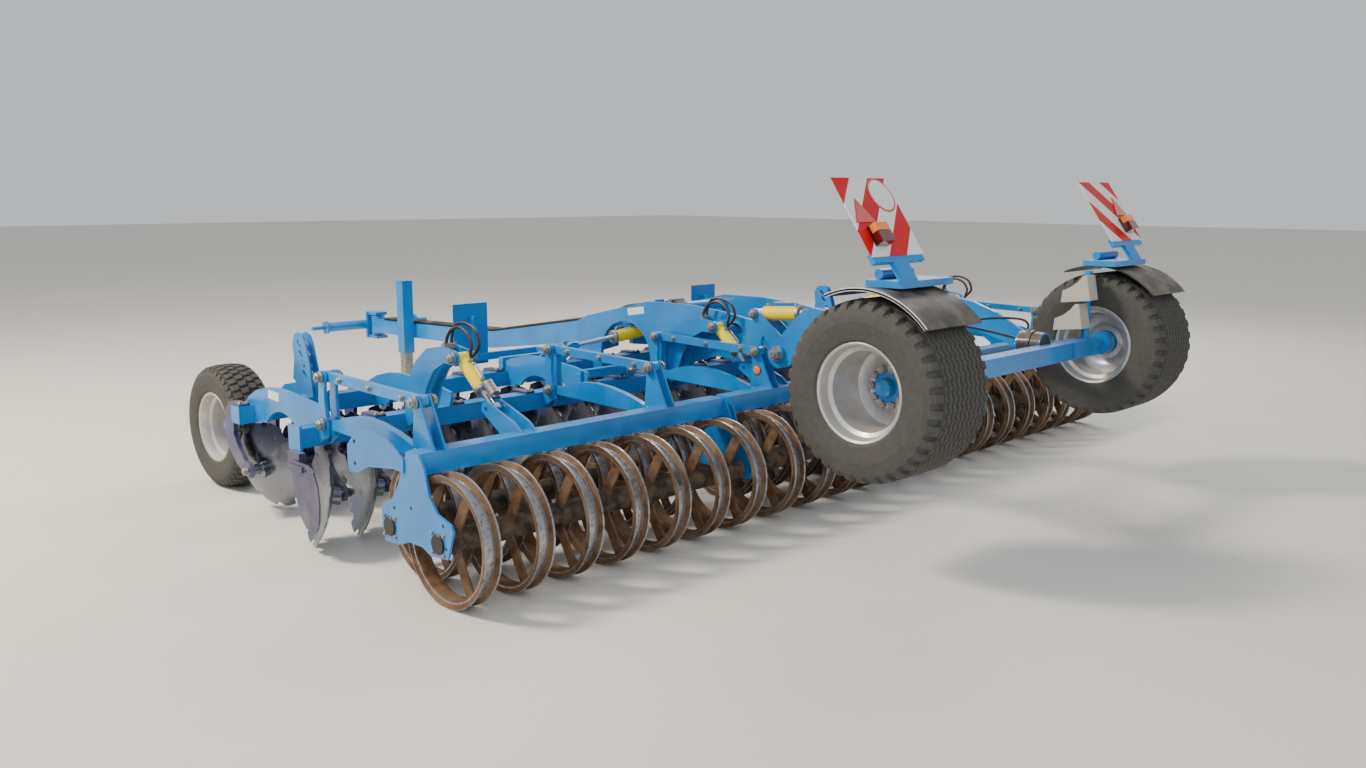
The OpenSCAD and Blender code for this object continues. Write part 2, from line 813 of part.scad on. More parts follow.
// Tyre and rim turned round X, w wide and d across, with a rim of rim_d and a row of
// lugs on each shoulder that reach from in_x to the sidewall
module wheel_body(d, w, rim_d, lugs, in_x) {
    r = d / 2;
    h = w / 2;
    rr = rim_d / 2;
    color(rubber) {
        rotate([0, 90, 0]) rotate_extrude($fn = 96)
            polygon([
                [rr - 8, -h + 30], [rr + 20, -h + 12], [(rr + r) / 2, -h], [r - 46, -h + 8],
                [r - tread - 6, -h + 34], [r - tread, -in_x], [r, -in_x], [r, in_x],
                [r - tread, in_x], [r - tread - 6, h - 34], [r - 46, h - 8],
                [(rr + r) / 2, h], [rr + 20, h - 12], [rr - 8, h - 30], [rr - 40, h - 60],
                [rr - 40, -h + 60]]);
        for (i = [0:lugs - 1], q = [-1, 1])
            rotate([(i + q / 4) * 360 / lugs, 0, 0]) scale([q, 1, 1])
                block([in_x - 1, -lug_len / 2, r - tread - 12], [h - 26, lug_len / 2, r - 0.6]);
    }
}

module rim_disc(rim_d, x, hub_r, t) {
    difference() {
        bar_x(x - t / 2, x + t / 2, 0, 0, rim_d / 2 - 35);
        bar_x(x - t, x + t, 0, 0, hub_r);
    }
}

module wheel(s) {
    color(steel) on_side(s) translate([-track / 2, wheel_y, wheel_z]) {
        wheel_body(tyre_d, tyre_w, 458, 32, tyre_w / 2 - 80);
        rim_disc(458, 40, 34 + pin_gap, 12);
        difference() {
            bar_x(-30, 46, 0, 0, 72);
            bar_x(-20, 60, 0, 0, 34 + pin_gap);
        }
    }
}

module depth_wheel(s) {
    color(steel) on_side(s) translate([-depth_x, depth_y, depth_d / 2]) {
        wheel_body(depth_d, depth_w, 415, 28, 18);
        rim_disc(415, 40, 28 + pin_gap, 10);
        difference() {
            bar_x(-20, 60, 0, 0, 60);
            bar_x(-30, 70, 0, 0, 28 + pin_gap);
        }
    }
}

// Drawbar and hitch

// Swivel of the hitch, and the parking leg
hitch_y = 3420;
leg_x = -150;
leg_y = 2700;

// Drawbar's middle line, as (Y, Z)
bar_line = [[-200, 862], [900, 690], [1500, 600], [3390, hitch_z]];
bar_half = [85, 77, 69, 61];
module drawbar() {
    w = 160;
    color(blue) {
        difference() {
            union() {
                plate_x(0, w) polygon(concat(
                    [for (i = [0:3]) bar_line[i] + [0, bar_half[i]]],
                    [for (i = [3:-1:0]) bar_line[i] - [0, bar_half[i]]]));
                translate([0, hitch_y, hitch_z - 90]) cylinder(r = 62, h = 180);
            }
            translate([0, hitch_y, hitch_z - 91]) cylinder(r = 30 + pin_gap, h = 182);
        }
        bar_x(-spine_in, spine_in, -60, 840, 60);
        // Braces from the bar to the arches
        both() plate_y(-40, 40)
            polygon([[-70, 700], [-70, 860], [-spine_in, 880], [-spine_in, 665]]);
        // Tube of the parking leg, beside the bar
        difference() {
            block([leg_x - 52, leg_y - 52, 380], [leg_x + 52, leg_y + 52, 1030]);
            block([leg_x - 42, leg_y - 42, 379], [leg_x + 42, leg_y + 42, 1022]);
        }
        block([leg_x + 51, leg_y - 60, 520], [-79, leg_y + 60, 620]);
    }
}

module hitch_yoke() {
    y = hitch_y;
    h = hitch_w / 2;
    color(blue) {
        for (z = [hitch_z - 125, hitch_z + 97]) block([-60, y - 60, z], [60, y + 110, z + 28]);
        translate([0, y, hitch_z - 125]) cylinder(r = 30, h = 250);
        block([-70, y + 80, hitch_z - 125], [70, y + 110, hitch_z + 125]);
        bar_x(-h + seat, h - seat, y + 130, hitch_z, 44);
        both() plate_x(-h + 10, 20) translate([y + 130, hitch_z]) circle(r = 60);
        both() bar_x(-h - 130, -h + 5, y + 130, hitch_z, hitch_pin_d / 2);
    }
}

module parking_leg() {
    color(zinc) {
        block([leg_x - 40, leg_y - 40, 14], [leg_x + 40, leg_y + 40, 700]);
        block([leg_x - 110, leg_y - 115, 0], [leg_x + 110, leg_y + 115, 14 + seat]);
    }
}

module front_boards() {
    y = 250;
    x = -625;
    color(blue) both() {
        block([x - 25, front_beam_y - 25, beam_top], [x + 25, front_beam_y + 25, 720]);
        block([x - 25, front_beam_y - 25, 670], [x + 25, y - 30, 720]);
        block([-1180, y - 60, 670], [x + 25, y - 30, 720]);
        block([-1180, y - 60, 670], [-1140, y, 980]);
        block([-1301, y - seat, 640], [-1019, y + 4, 640 + board_s]);
    }
}

// A round pipe through points, with a ball at each corner
module pipe(pts, r) {
    for (i = [0:len(pts) - 2]) {
        d = pts[i + 1] - pts[i];
        translate(pts[i]) rotate([0, acos(d.z / norm(d)), atan2(d.y, d.x)]) cylinder(r = r, h = norm(d));
        if (i < len(pts) - 2) translate(pts[i + 1]) sphere(r = r + 0.2);
    }
}

// Hoses along the drawbar, lying on its top
hose_xs = [-48, -16, 16, 48];
hose_r = 11;
module hoses() {
    lift = (hose_r + seat) * 1.014;
    top = [for (i = [0:3]) bar_line[i].y + bar_half[i] + lift];
    start = 0.3;
    color(rubber)
        for (x = hose_xs)
            pipe([
                [x, bar_line[0].x + start * (bar_line[1].x - bar_line[0].x),
                    top[0] + start * (top[1] - top[0])],
                [x, bar_line[1].x, top[1]], [x, bar_line[2].x, top[2]],
                [x, hitch_y - 200, top[3] + 170 / 1890 * (top[2] - top[3])]], hose_r);
}

centre_frame();
drawbar();
hitch_yoke();
parking_leg();
front_boards();
hoses();
wing(LEFT);  // wing_left
wing(RIGHT);  // wing_right
depth_wheel(LEFT);  // depth_wheel_left
depth_wheel(RIGHT);  // depth_wheel_right
arms(LEFT);  // arms_left
arms(CENTRE);  // arms_centre
arms(RIGHT);  // arms_right
discs(LEFT);  // discs_left
discs(CENTRE);  // discs_centre
discs(RIGHT);  // discs_right
roller_frame(LEFT);  // roller_frame_left
roller_frame(CENTRE);  // roller_frame_centre
roller_frame(RIGHT);  // roller_frame_right
rotor(LEFT, false);  // roller_front_left
rotor(CENTRE, false);  // roller_front_centre
rotor(RIGHT, false);  // roller_front_right
rotor(LEFT, true);  // roller_rear_left
rotor(CENTRE, true);  // roller_rear_centre
rotor(RIGHT, true);  // roller_rear_right
links(LEFT, link_top_z, 24, false);  // links_upper_left
links(CENTRE, link_top_z, 24, false);  // links_upper_centre
links(RIGHT, link_top_z, 24, false);  // links_upper_right
links(LEFT, link_low_z, 26, true);  // links_lower_left
links(CENTRE, link_low_z, 26, true);  // links_lower_centre
links(RIGHT, link_low_z, 26, true);  // links_lower_right
depth_barrel(LEFT);  // depth_barrel_left
depth_barrel(CENTRE);  // depth_barrel_centre
depth_barrel(RIGHT);  // depth_barrel_right
depth_rod(LEFT);  // depth_rod_left
depth_rod(CENTRE);  // depth_rod_centre
depth_rod(RIGHT);  // depth_rod_right
fold_barrel(LEFT);  // fold_barrel_left
fold_barrel(RIGHT);  // fold_barrel_right
fold_rod(LEFT);  // fold_rod_left
fold_rod(RIGHT);  // fold_rod_right
axle();
mudguards();
rear_boards();
lamps();
wheel_chocks();
wheel(LEFT);  // wheel_left
wheel(RIGHT);  // wheel_right
axle_barrels();
axle_rods();
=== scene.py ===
"""Looks of a trailed compact disc harrow: finishes, tyres, rims, fasteners, boards and the studio."""

from __future__ import annotations

import logging
import math
from dataclasses import dataclass, field
from enum import Enum
from typing import Callable, Sequence

import bmesh
import bpy
from mathutils import Matrix, Vector

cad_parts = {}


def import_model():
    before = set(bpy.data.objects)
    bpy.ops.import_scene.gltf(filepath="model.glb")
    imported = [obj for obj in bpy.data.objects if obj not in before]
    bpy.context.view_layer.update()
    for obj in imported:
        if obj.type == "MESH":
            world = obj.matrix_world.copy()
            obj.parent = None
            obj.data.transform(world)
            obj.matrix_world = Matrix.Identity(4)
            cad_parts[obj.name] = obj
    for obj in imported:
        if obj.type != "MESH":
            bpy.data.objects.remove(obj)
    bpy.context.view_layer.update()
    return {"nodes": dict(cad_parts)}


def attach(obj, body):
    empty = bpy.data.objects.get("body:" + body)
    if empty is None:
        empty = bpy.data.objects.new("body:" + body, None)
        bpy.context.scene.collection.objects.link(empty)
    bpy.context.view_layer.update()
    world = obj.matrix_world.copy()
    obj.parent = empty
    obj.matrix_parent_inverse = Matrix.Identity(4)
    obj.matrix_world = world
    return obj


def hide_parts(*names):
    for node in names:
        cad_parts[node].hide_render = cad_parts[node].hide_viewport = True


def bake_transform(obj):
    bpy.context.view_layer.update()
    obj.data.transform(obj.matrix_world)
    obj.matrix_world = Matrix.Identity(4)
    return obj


Pair = tuple[float, float]
Point = tuple[float, float, float]
Profile = list[Pair]
Spot = Point | Vector
# Radius, length, sides and chamfer of a short prism
Stub = tuple[float, float, int, float]
Loops = list[list[bmesh.types.BMVert]]
Tread = Callable[[float, float, float], float]
Socket = bpy.types.NodeSocket
SIDES = ((-1, "left"), (1, "right"))
UP: Point = (0.0, 0.0, 1.0)
# Settings of shader nodes that many finishes share
EASED = {"interpolation_type": "SMOOTHSTEP"}
COLOURS = {"data_type": "RGBA"}
log = logging.getLogger("harrow")


def linear(code: str) -> tuple[float, float, float, float]:
    """Turns an sRGB hex colour into linear light.

    Args:
        code: A colour such as "2f9fe0".

    Returns:
        Red, green, blue and alpha in linear light.
    """
    values = [int(code[i : i + 2], 16) / 255 for i in (0, 2, 4)]
    light = [v / 12.92 if v <= 0.04045 else ((v + 0.055) / 1.055) ** 2.4 for v in values]
    return (light[0], light[1], light[2], 1.0)


class Paint(Enum):
    """Colours of the harrow and its studio, as sRGB hex values."""

    SKY_BLUE = "0086d0"
    DEEP_BLUE = "006eb6"
    NAVY = "1d2150"
    VIOLET_STEEL = "3d4072"
    SOIL = "7f664a"
    DRY_DUST = "b9a587"
    RUST = "46321f"
    OCHRE_RUST = "6d4c30"
    BRIGHT_STEEL = "a9adb4"
    PALE_GREY = "b7b3a9"
    DISC_STEEL = "878c96"
    BLUED_STEEL = "454a5a"
    YELLOW = "ffe804"
    DEEP_YELLOW = "f2cc04"
    RUBBER = "232321"
    DUSTY_RUBBER = "6c6a64"
    GUARD = "2d2c2c"
    TRIM = "c9c8c4"
    ZINC = "a9abaa"
    ZINC_DARK = "868988"
    SILVER = "c3c5c8"
    WHITE = "e8e9e6"
    RED = "cc000e"
    LAMP_RED = "5a070b"
    AMBER = "ff7c0a"
    # Pale orange of the painted highlight on a lens's ribs
    RIB_HIGHLIGHT = "ff8a50"
    HOUSING = "26130f"
    CHROME = "d9dadb"
    OILY_IRON = "2a2622"
    DRIED_MUD = "6b5844"
    HOSE = "141414"
    CAP = "0b0b0d"
    FLOOR = "dcd9d2"
    FLOOR_SHADE = "d5d1c9"
    SKY = "f2f5f9"
    WARM_LIGHT = "fff3e0"
    COOL_LIGHT = "eef4ff"
    WHITE_LIGHT = "ffffff"

    @property
    def light(self) -> tuple[float, float, float, float]:
        """This colour in linear light."""
        return linear(self.value)


@dataclass
class Nodes:
    """The shader nodes of one material, and the patterns that the finishes share."""

    tree: bpy.types.NodeTree
    where: Socket = field(init=False)

    def __post_init__(self) -> None:
        """Takes object coordinates in metres, which ride with the piece."""
        self.where = self.add("TexCoord", out="Object")

    def add(self, kind: str, *inputs: object, out: str = "", **named: object) -> Socket | None:
        """Adds one shader node with its settings, and sets or links its inputs.

        Args:
            kind: The node's type name without its ShaderNode prefix.
            *inputs: Values or sockets for the inputs that the settings leave in use, in their order.
            out: Name of the output that is wanted, if not the first one in use.
            **named: Settings by their lower-case names, and inputs by theirs with _ for a space.

        Returns:
            The output, or None for a node that has none.
        """
        node = self.tree.nodes.new("ShaderNode" + kind)
        for name in [name for name in named if name.islower()]:
            setattr(node, name, named.pop(name))
        pairs = list(zip([socket for socket in node.inputs if socket.enabled], inputs))
        pairs += [(node.inputs[name.replace("_", " ")], value) for name, value in named.items()]
        for socket, value in pairs:
            if isinstance(value, Socket):
                self.tree.links.new(value, socket)
            else:
                socket.default_value = value
        results = [node.outputs[out]] if out else [socket for socket in node.outputs if socket.enabled]
        return results[0] if results else None

    def grain(
        self, size_mm: float, detail: float = 3.0, ends: Pair | None = None, where: Socket | None = None
    ) -> Socket:
        """A soft random pattern whose blots are about size_mm across.

        Args:
            size_mm: Size of one blot on the real surface.
            detail: Octaves of finer pattern inside a blot.
            ends: Values of the pattern that are stretched to 0 and 1, if it is stretched.
            where: Coordinates in metres, if not the piece's own.

        Returns:
            The pattern, from 0 to 1.
        """
        blots = self.add("TexNoise", where or self.where, 1000.0 / size_mm, detail, 0.55)
        return self.add("MapRange", blots, *ends, **EASED) if ends else blots

    def lying_dust(self, amount: float) -> Socket:
        """Share of dust on a surface: most on faces that look up, and splashed towards the ground.

        Args:
            amount: Largest share of dust on a face that looks up.

        Returns:
            The share, from 0 to amount.
        """
        normal = self.add("TexCoord", out="Normal")
        upward = self.add("MapRange", self.add("SeparateXYZ", normal, out="Z"), 0.2, 1.0, **EASED)
        height = self.add("SeparateXYZ", self.where, out="Z")
        low = self.add("MapRange", height, 0.75, 0.1, **EASED)
        splashed = self.add("Math", low, 0.55, operation="MULTIPLY")
        settled = self.add("Math", upward, 0.55, 0.12, operation="MULTIPLY_ADD")
        spread = self.add("Math", settled, splashed, operation="MAXIMUM")
        patchy = self.add("Math", spread, self.grain(130, 6.0, (0.32, 0.68)), operation="MULTIPLY")
        return self.add("Math", patchy, amount, operation="MULTIPLY")

    def finish(
        self, colour: object, rough: object, bump: Socket | None = None, bump_mm: float = 0.1, **fixed: object
    ) -> None:
        """Ends the material with its shader.

        Args:
            colour: Base colour, as a socket or four numbers.
            rough: Roughness, as a socket or a number.
            bump: Height pattern from 0 to 1, if the surface has one.
            bump_mm: Depth of that pattern on the real surface.
            **fixed: More of the shader's inputs by name.
        """
        if bump is not None:
            fixed["Normal"] = self.add("Bump", Height=bump, Distance=bump_mm / 1000, Strength=1.0)
        self.add("OutputMaterial", self.add("BsdfPrincipled", Base_Color=colour, Roughness=rough, **fixed))


@dataclass(frozen=True)
class Finish:
    """One surface finish, worked out from what the real surface is."""

    name: str

    def fill(self, on: Nodes) -> None:
        """Lays out the material's nodes. Each kind of finish has its own.

        Args:
            on: The material's nodes.
        """
        raise NotImplementedError

    def material(self) -> bpy.types.Material:
        """Makes the material once, and returns it from then on.

        Returns:
            The material of this finish.
        """
        found = bpy.data.materials.get(self.name)
        if found is not None:
            return found
        made = bpy.data.materials.new(self.name)
        made.use_nodes = True
        made.node_tree.nodes.clear()
        self.fill(Nodes(made.node_tree))
        return made


@dataclass(frozen=True)
class Enamel(Finish):
    """Two-pack enamel on steel: a glossy even colour with a faint orange peel, dulled where dust lies."""

    colour: Paint
    shade: Paint
    dust: float = 0.5
    gloss: float = 0.28
    cloud_mm: float = 420
    speck_mm: float = 9
    # Orange peel is about 2 mm on the real paint; drawn at 6 mm so that it shows
    peel_mm: float = 6

    def fill(self, on: Nodes) -> None:
        """Lays out colour, dust, and the sprayed surface's soft waves.

        Args:
            on: The material's nodes.
        """
        clouds = on.grain(self.cloud_mm, 3.0, (0.3, 0.75))
        tone = on.add("Mix", clouds, self.colour.light, self.shade.light, **COLOURS)
        dust = on.lying_dust(self.dust)
        grit = on.grain(self.speck_mm, 5.0, (0.62, 0.72))
        specks = on.add("Math", grit, 0.35 * self.dust, operation="MULTIPLY")
        dirt = on.add("Math", dust, specks, operation="MAXIMUM")
        colour = on.add("Mix", dirt, tone, Paint.DRY_DUST.light, **COLOURS)
        rough = on.add("Math", dirt, 0.55, self.gloss, operation="MULTIPLY_ADD")
        on.finish(colour, rough, on.grain(self.peel_mm, 2.0), 0.03, Coat_Weight=0.25, Coat_Roughness=0.12)


@dataclass(frozen=True)
class SoilPolishedSteel(Finish):
    """Hardened spring steel that runs in soil: bluish above, brighter and scratched towards the edge."""

    # Heights between which the steel gets brighter, and the soil's and the scratches' sizes
    worn: Pair = (0.5, 0.1)
    soil_mm: float = 60
    scratch_mm: float = 14

    def fill(self, on: Nodes) -> None:
        """Lays out a brighter lower half, scratches and dry soil.

        Args:
            on: The material's nodes.
        """
        height = on.add("SeparateXYZ", on.where, out="Z")
        low = on.add("MapRange", height, *self.worn, **EASED)
        uneven = on.add("Math", on.grain(self.soil_mm), 0.5, operation="MULTIPLY")
        worn = on.add("Math", low, uneven, operation="ADD")
        bright = on.add("MapRange", worn, 0.3, 1.0, **EASED)
        steel = on.add("Mix", bright, Paint.BLUED_STEEL.light, Paint.DISC_STEEL.light, **COLOURS)
        soil = on.add("Math", on.grain(self.soil_mm, 8.0, (0.55, 0.72)), 0.5, operation="MULTIPLY")
        colour = on.add("Mix", soil, steel, Paint.SOIL.light, **COLOURS)
        drawn_out = on.add("Mapping", on.where, Scale=(1.0, 1.0, 12.0))
        scratches = on.grain(self.scratch_mm, 4.0, where=drawn_out)
        scratched = on.add("Math", scratches, 0.15, 0.2, operation="MULTIPLY_ADD")
        rough = on.add("Math", soil, 0.5, scratched, operation="MULTIPLY_ADD")
        on.finish(colour, rough, scratches, 0.08, Metallic=on.add("Math", 1.0, soil, operation="SUBTRACT"))


@dataclass(frozen=True)
class RollerSteel(Finish):
    """Rolled channel rings on a tube: rust-brown with dried soil, and rubbed bright where they run."""

    axle_y: float
    axle_z: float = 0.300
    # Radii between which the muddy tube gives way to the rings, and at the rings' two rubbed edges
    tube: Pair = (0.075, 0.110)
    inner_edge: tuple[Pair, Pair] = ((0.2695, 0.2705), (0.276, 0.274))
    outer_edge: Pair = (0.2975, 0.2985)
    rust_mm: float = 45
    soil_mm: float = 160
    mud_mm: float = 70
    streak_mm: float = 22
    grit_mm: float = 12

    def fill(self, on: Nodes) -> None:
        """Lays out the finish by the distance to the roller's axle.

        Args:
            on: The material's nodes.
        """
        flat = on.add("VectorMath", on.where, (0, 1, 1), operation="MULTIPLY")
        from_axle = on.add("VectorMath", flat, (0, self.axle_y, self.axle_z), operation="SUBTRACT")
        radius = on.add("VectorMath", from_axle, operation="LENGTH")
        rusty = on.grain(self.rust_mm, 7.0, (0.35, 0.65))
        rust = on.add("Mix", rusty, Paint.RUST.light, Paint.OCHRE_RUST.light, **COLOURS)
        soil = on.add("Math", on.grain(self.soil_mm, 5.0, (0.4, 0.62)), 0.6, operation="MULTIPLY")
        rings = on.add("Mix", soil, rust, Paint.SOIL.light, **COLOURS)
        muddy = on.grain(self.mud_mm, 5.0, (0.35, 0.7))
        tube = on.add("Mix", muddy, Paint.OILY_IRON.light, Paint.DRIED_MUD.light, **COLOURS)
        body = on.add("Mix", on.add("MapRange", radius, *self.tube, **EASED), tube, rings, **COLOURS)
        rise, fall = [on.add("MapRange", radius, *ends, **EASED) for ends in self.inner_edge]
        inner = on.add("Math", rise, fall, operation="MULTIPLY")
        outer = on.add("MapRange", radius, *self.outer_edge, **EASED)
        rubbed = on.add("Math", inner, outer, operation="MAXIMUM")
        streaks = on.grain(self.streak_mm, 5.0, (0.25, 0.55))
        bright = on.add("Math", rubbed, streaks, operation="MULTIPLY")
        colour = on.add("Mix", bright, body, Paint.BRIGHT_STEEL.light, **COLOURS)
        rough = on.add("Math", 0.78, on.add("Math", bright, 0.5, operation="MULTIPLY"), operation="SUBTRACT")
        on.finish(colour, rough, on.grain(self.grit_mm, 6.0), 0.6, Metallic=bright)


@dataclass(frozen=True)
class DustyRubber(Finish):
    """Vulcanised rubber run in dry soil: near black on the edges, sandy in the hollows."""

    dust: float = 0.55
    blotch_mm: float = 38
    speck_mm: float = 5

    def fill(self, on: Nodes) -> None:
        """Lays out black rubber under blotches of dust.

        Args:
            on: The material's nodes.
        """
        pattern = on.grain(self.blotch_mm, 8.0)
        blotches = on.add("Math", pattern, self.dust * 0.6, self.dust * 0.3, operation="MULTIPLY_ADD")
        fine = on.add("Math", on.grain(self.speck_mm, 3.0, (0.5, 0.8)), 0.2, operation="MULTIPLY")
        share = on.add("Math", blotches, fine, operation="ADD")
        colour = on.add("Mix", share, Paint.RUBBER.light, Paint.DUSTY_RUBBER.light, **COLOURS)
        rough = on.add("Math", share, 0.25, 0.62, operation="MULTIPLY_ADD")
        on.finish(colour, rough, on.grain(4), 0.15, Specular_IOR_Level=0.35)


@dataclass(frozen=True)
class MouldedPlastic(Finish):
    """Moulded polypropylene or rubber hose cover: soft sheen, a fine grain and a film of dust."""

    colour: Paint
    dust: float = 0.4
    roughness: float = 0.45

    def fill(self, on: Nodes) -> None:
        """Lays out the moulded colour under dust.

        Args:
            on: The material's nodes.
        """
        dust = on.lying_dust(self.dust)
        colour = on.add("Mix", dust, self.colour.light, Paint.DRY_DUST.light, **COLOURS)
        rough = on.add("Math", dust, 0.35, self.roughness, operation="MULTIPLY_ADD")
        on.finish(colour, rough, on.grain(3, 2.0), 0.08)


@dataclass(frozen=True)
class HotDipZinc(Finish):
    """Hot-dip galvanised steel: grey with leaf-shaped crystals a centimetre or two across."""

    spangle_mm: float = 16.0

    def fill(self, on: Nodes) -> None:
        """Lays out zinc crystals and dull patches.

        Args:
            on: The material's nodes.
        """
        cells = on.add("TexVoronoi", on.where, 1000 / self.spangle_mm, out="Color")
        tone = on.add("SeparateXYZ", cells)
        zinc = on.add("Mix", tone, Paint.ZINC_DARK.light, Paint.ZINC.light, **COLOURS)
        colour = on.add("Mix", on.lying_dust(0.5), zinc, Paint.DRY_DUST.light, **COLOURS)
        rough = on.add("Math", tone, 0.18, 0.36, operation="MULTIPLY_ADD")
        on.finish(colour, rough, on.grain(5), 0.05, Metallic=0.85)


@dataclass(frozen=True)
class HardChrome(Finish):
    """Ground and hard-chromed rod: a near mirror with faint marks of the grinding."""

    def fill(self, on: Nodes) -> None:
        """Lays out a bright metal and its grinding marks.

        Args:
            on: The material's nodes.
        """
        marks = on.grain(2, 2.0)
        rough = on.add("Math", marks, 0.08, 0.08, operation="MULTIPLY_ADD")
        on.finish(Paint.CHROME.light, rough, marks, 0.01, Metallic=1.0)


@dataclass(frozen=True)
class SilverPaint(Finish):
    """Aluminium-flake wheel paint, dull from dust that sits in the dish."""

    dust: float = 0.5

    def fill(self, on: Nodes) -> None:
        """Lays out silver paint under patches of dust.

        Args:
            on: The material's nodes.
        """
        share = on.add("Math", on.grain(80, 6.0, (0.3, 0.7)), self.dust, operation="MULTIPLY")
        colour = on.add("Mix", share, Paint.SILVER.light, Paint.DRY_DUST.light, **COLOURS)
        rough = on.add("Math", share, 0.4, 0.33, operation="MULTIPLY_ADD")
        on.finish(colour, rough, on.grain(5, 2.0), 0.03, Metallic=0.55)


@dataclass(frozen=True)
class Lens(Finish):
    """Clear-coated acrylic lens: deep colour, high gloss, moulded ribs, and a painted highlight that lightens
    each rib.
    """

    colour: Paint
    rib_mm: float = 6.0

    def fill(self, on: Nodes) -> None:
        """Lays out the lens colour, its ribs, and a painted highlight that lightens each rib as it rises.

        Args:
            on: The material's nodes.
        """
        across = on.add("SeparateXYZ", on.where)
        ribs = on.add("Math", across, self.rib_mm / 1000, operation="PINGPONG")
        height = on.add("Math", ribs, 1000 / self.rib_mm, operation="MULTIPLY")
        share = on.add("Math", height, 0.35, operation="MULTIPLY")
        # Painted highlight: each rib is mixed towards a pale orange as it rises, standing in for light that
        # catches it
        colour = on.add("Mix", share, self.colour.light, Paint.RIB_HIGHLIGHT.light, **COLOURS)
        on.finish(colour, 0.12, height, 0.4, Coat_Weight=1.0, Coat_Roughness=0.05)


# Transport axle and the two pins of a depth cylinder, as (Y, Z)
WHEEL_AXLE: Pair = (-3.180, 0.905)
HORN_PIN: Pair = (-1.395, 0.984)
ROLLER_PIN: Pair = (-1.659, 0.758)
# Base pins of the right fold and lift cylinders
FOLD_PIN: Point = (0.100, -0.470, 0.870)
LIFT_PIN: Point = (0.540, -1.824, 1.108)
# Y of the two beams that carry the disc arms
BEAMS: Pair = (-0.070, -0.870)
# Lean of the rear boards, and the middle of the right one
BOARD_LEAN = math.radians(34)
BOARD_MIDDLE: Point = (1.240, -3.125, 1.707)


def board_axes(on: Nodes) -> tuple[Socket, Socket]:
    """How far up a rear board, and how far in front of its plate, a point lies.

    Args:
        on: The material's nodes.

    Returns:
        The height along the board and the distance in front of it, as sockets.
    """
    rise, run = math.sin(BOARD_LEAN), math.cos(BOARD_LEAN)
    offset = on.add("VectorMath", on.where, (0, BOARD_MIDDLE[1], BOARD_MIDDLE[2]), operation="SUBTRACT")
    up = on.add("VectorMath", offset, (0.0, rise, run), operation="DOT_PRODUCT")
    ahead = on.add("VectorMath", offset, (0.0, run, -rise), operation="DOT_PRODUCT")
    return up, ahead


@dataclass(frozen=True)
class StripedBoard(Finish):
    """Reflective film on an aluminium plate: white with red bands at 45 degrees, on a blue steel rail."""

    band: float = 0.2828
    phase: float = 1.241
    film_face: float = 0.0024
    film_foot: float = -0.2120

    def fill(self, on: Nodes) -> None:
        """Lays out bands that mirror each other on the two boards.

        Args:
            on: The material's nodes.
        """
        up, ahead = board_axes(on)
        across = on.add("Math", on.add("SeparateXYZ", on.where), operation="ABSOLUTE")
        along = on.add("Math", on.add("Math", across, up, operation="ADD"), self.phase, operation="SUBTRACT")
        turns = on.add("Math", on.add("Math", along, self.band, operation="DIVIDE"), operation="FRACT")
        share = on.add("Math", turns, 0.5, operation="LESS_THAN")
        film = on.add("Mix", share, Paint.WHITE.light, Paint.RED.light, **COLOURS)
        behind = on.add("Math", ahead, self.film_face, operation="GREATER_THAN")
        below = on.add("Math", up, self.film_foot, operation="LESS_THAN")
        rail = on.add("Math", behind, below, operation="MAXIMUM")
        clean = on.add("Mix", rail, film, Paint.SKY_BLUE.light, **COLOURS)
        dust = on.lying_dust(0.12)
        colour = on.add("Mix", dust, clean, Paint.DRY_DUST.light, **COLOURS)
        rough = on.add("Math", dust, 0.4, 0.3, operation="MULTIPLY_ADD")
        on.finish(colour, rough, on.grain(5, 2.0), 0.02, Specular_IOR_Level=0.2)


@dataclass(frozen=True)
class TwoLenses(Finish):
    """Rear lamp in its dark housing: amber lens above, deep red lens below."""

    split: float = -0.1025
    housing_face: float = -0.018
    rib: float = 0.006

    def fill(self, on: Nodes) -> None:
        """Lays out both lens colours and their ribs.

        Args:
            on: The material's nodes.
        """
        up, ahead = board_axes(on)
        amber = on.add("Math", up, self.split, operation="GREATER_THAN")
        lens = on.add("Mix", amber, Paint.LAMP_RED.light, Paint.AMBER.light, **COLOURS)
        housing = on.add("Math", ahead, self.housing_face, operation="GREATER_THAN")
        colour = on.add("Mix", housing, lens, Paint.HOUSING.light, **COLOURS)
        ribs = on.add("Math", on.add("Math", up, self.rib, operation="PINGPONG"), 160.0, operation="MULTIPLY")
        on.finish(colour, 0.15, ribs, 0.3, Coat_Weight=0.9, Coat_Roughness=0.06)


@dataclass(frozen=True)
class PalePlaster(Finish):
    """Plain matt studio floor with hardly any pattern."""

    def fill(self, on: Nodes) -> None:
        """Lays out one pale tone, a little uneven.

        Args:
            on: The material's nodes.
        """
        colour = on.add("Mix", on.grain(900), Paint.FLOOR.light, Paint.FLOOR_SHADE.light, **COLOURS)
        on.finish(colour, 0.9)


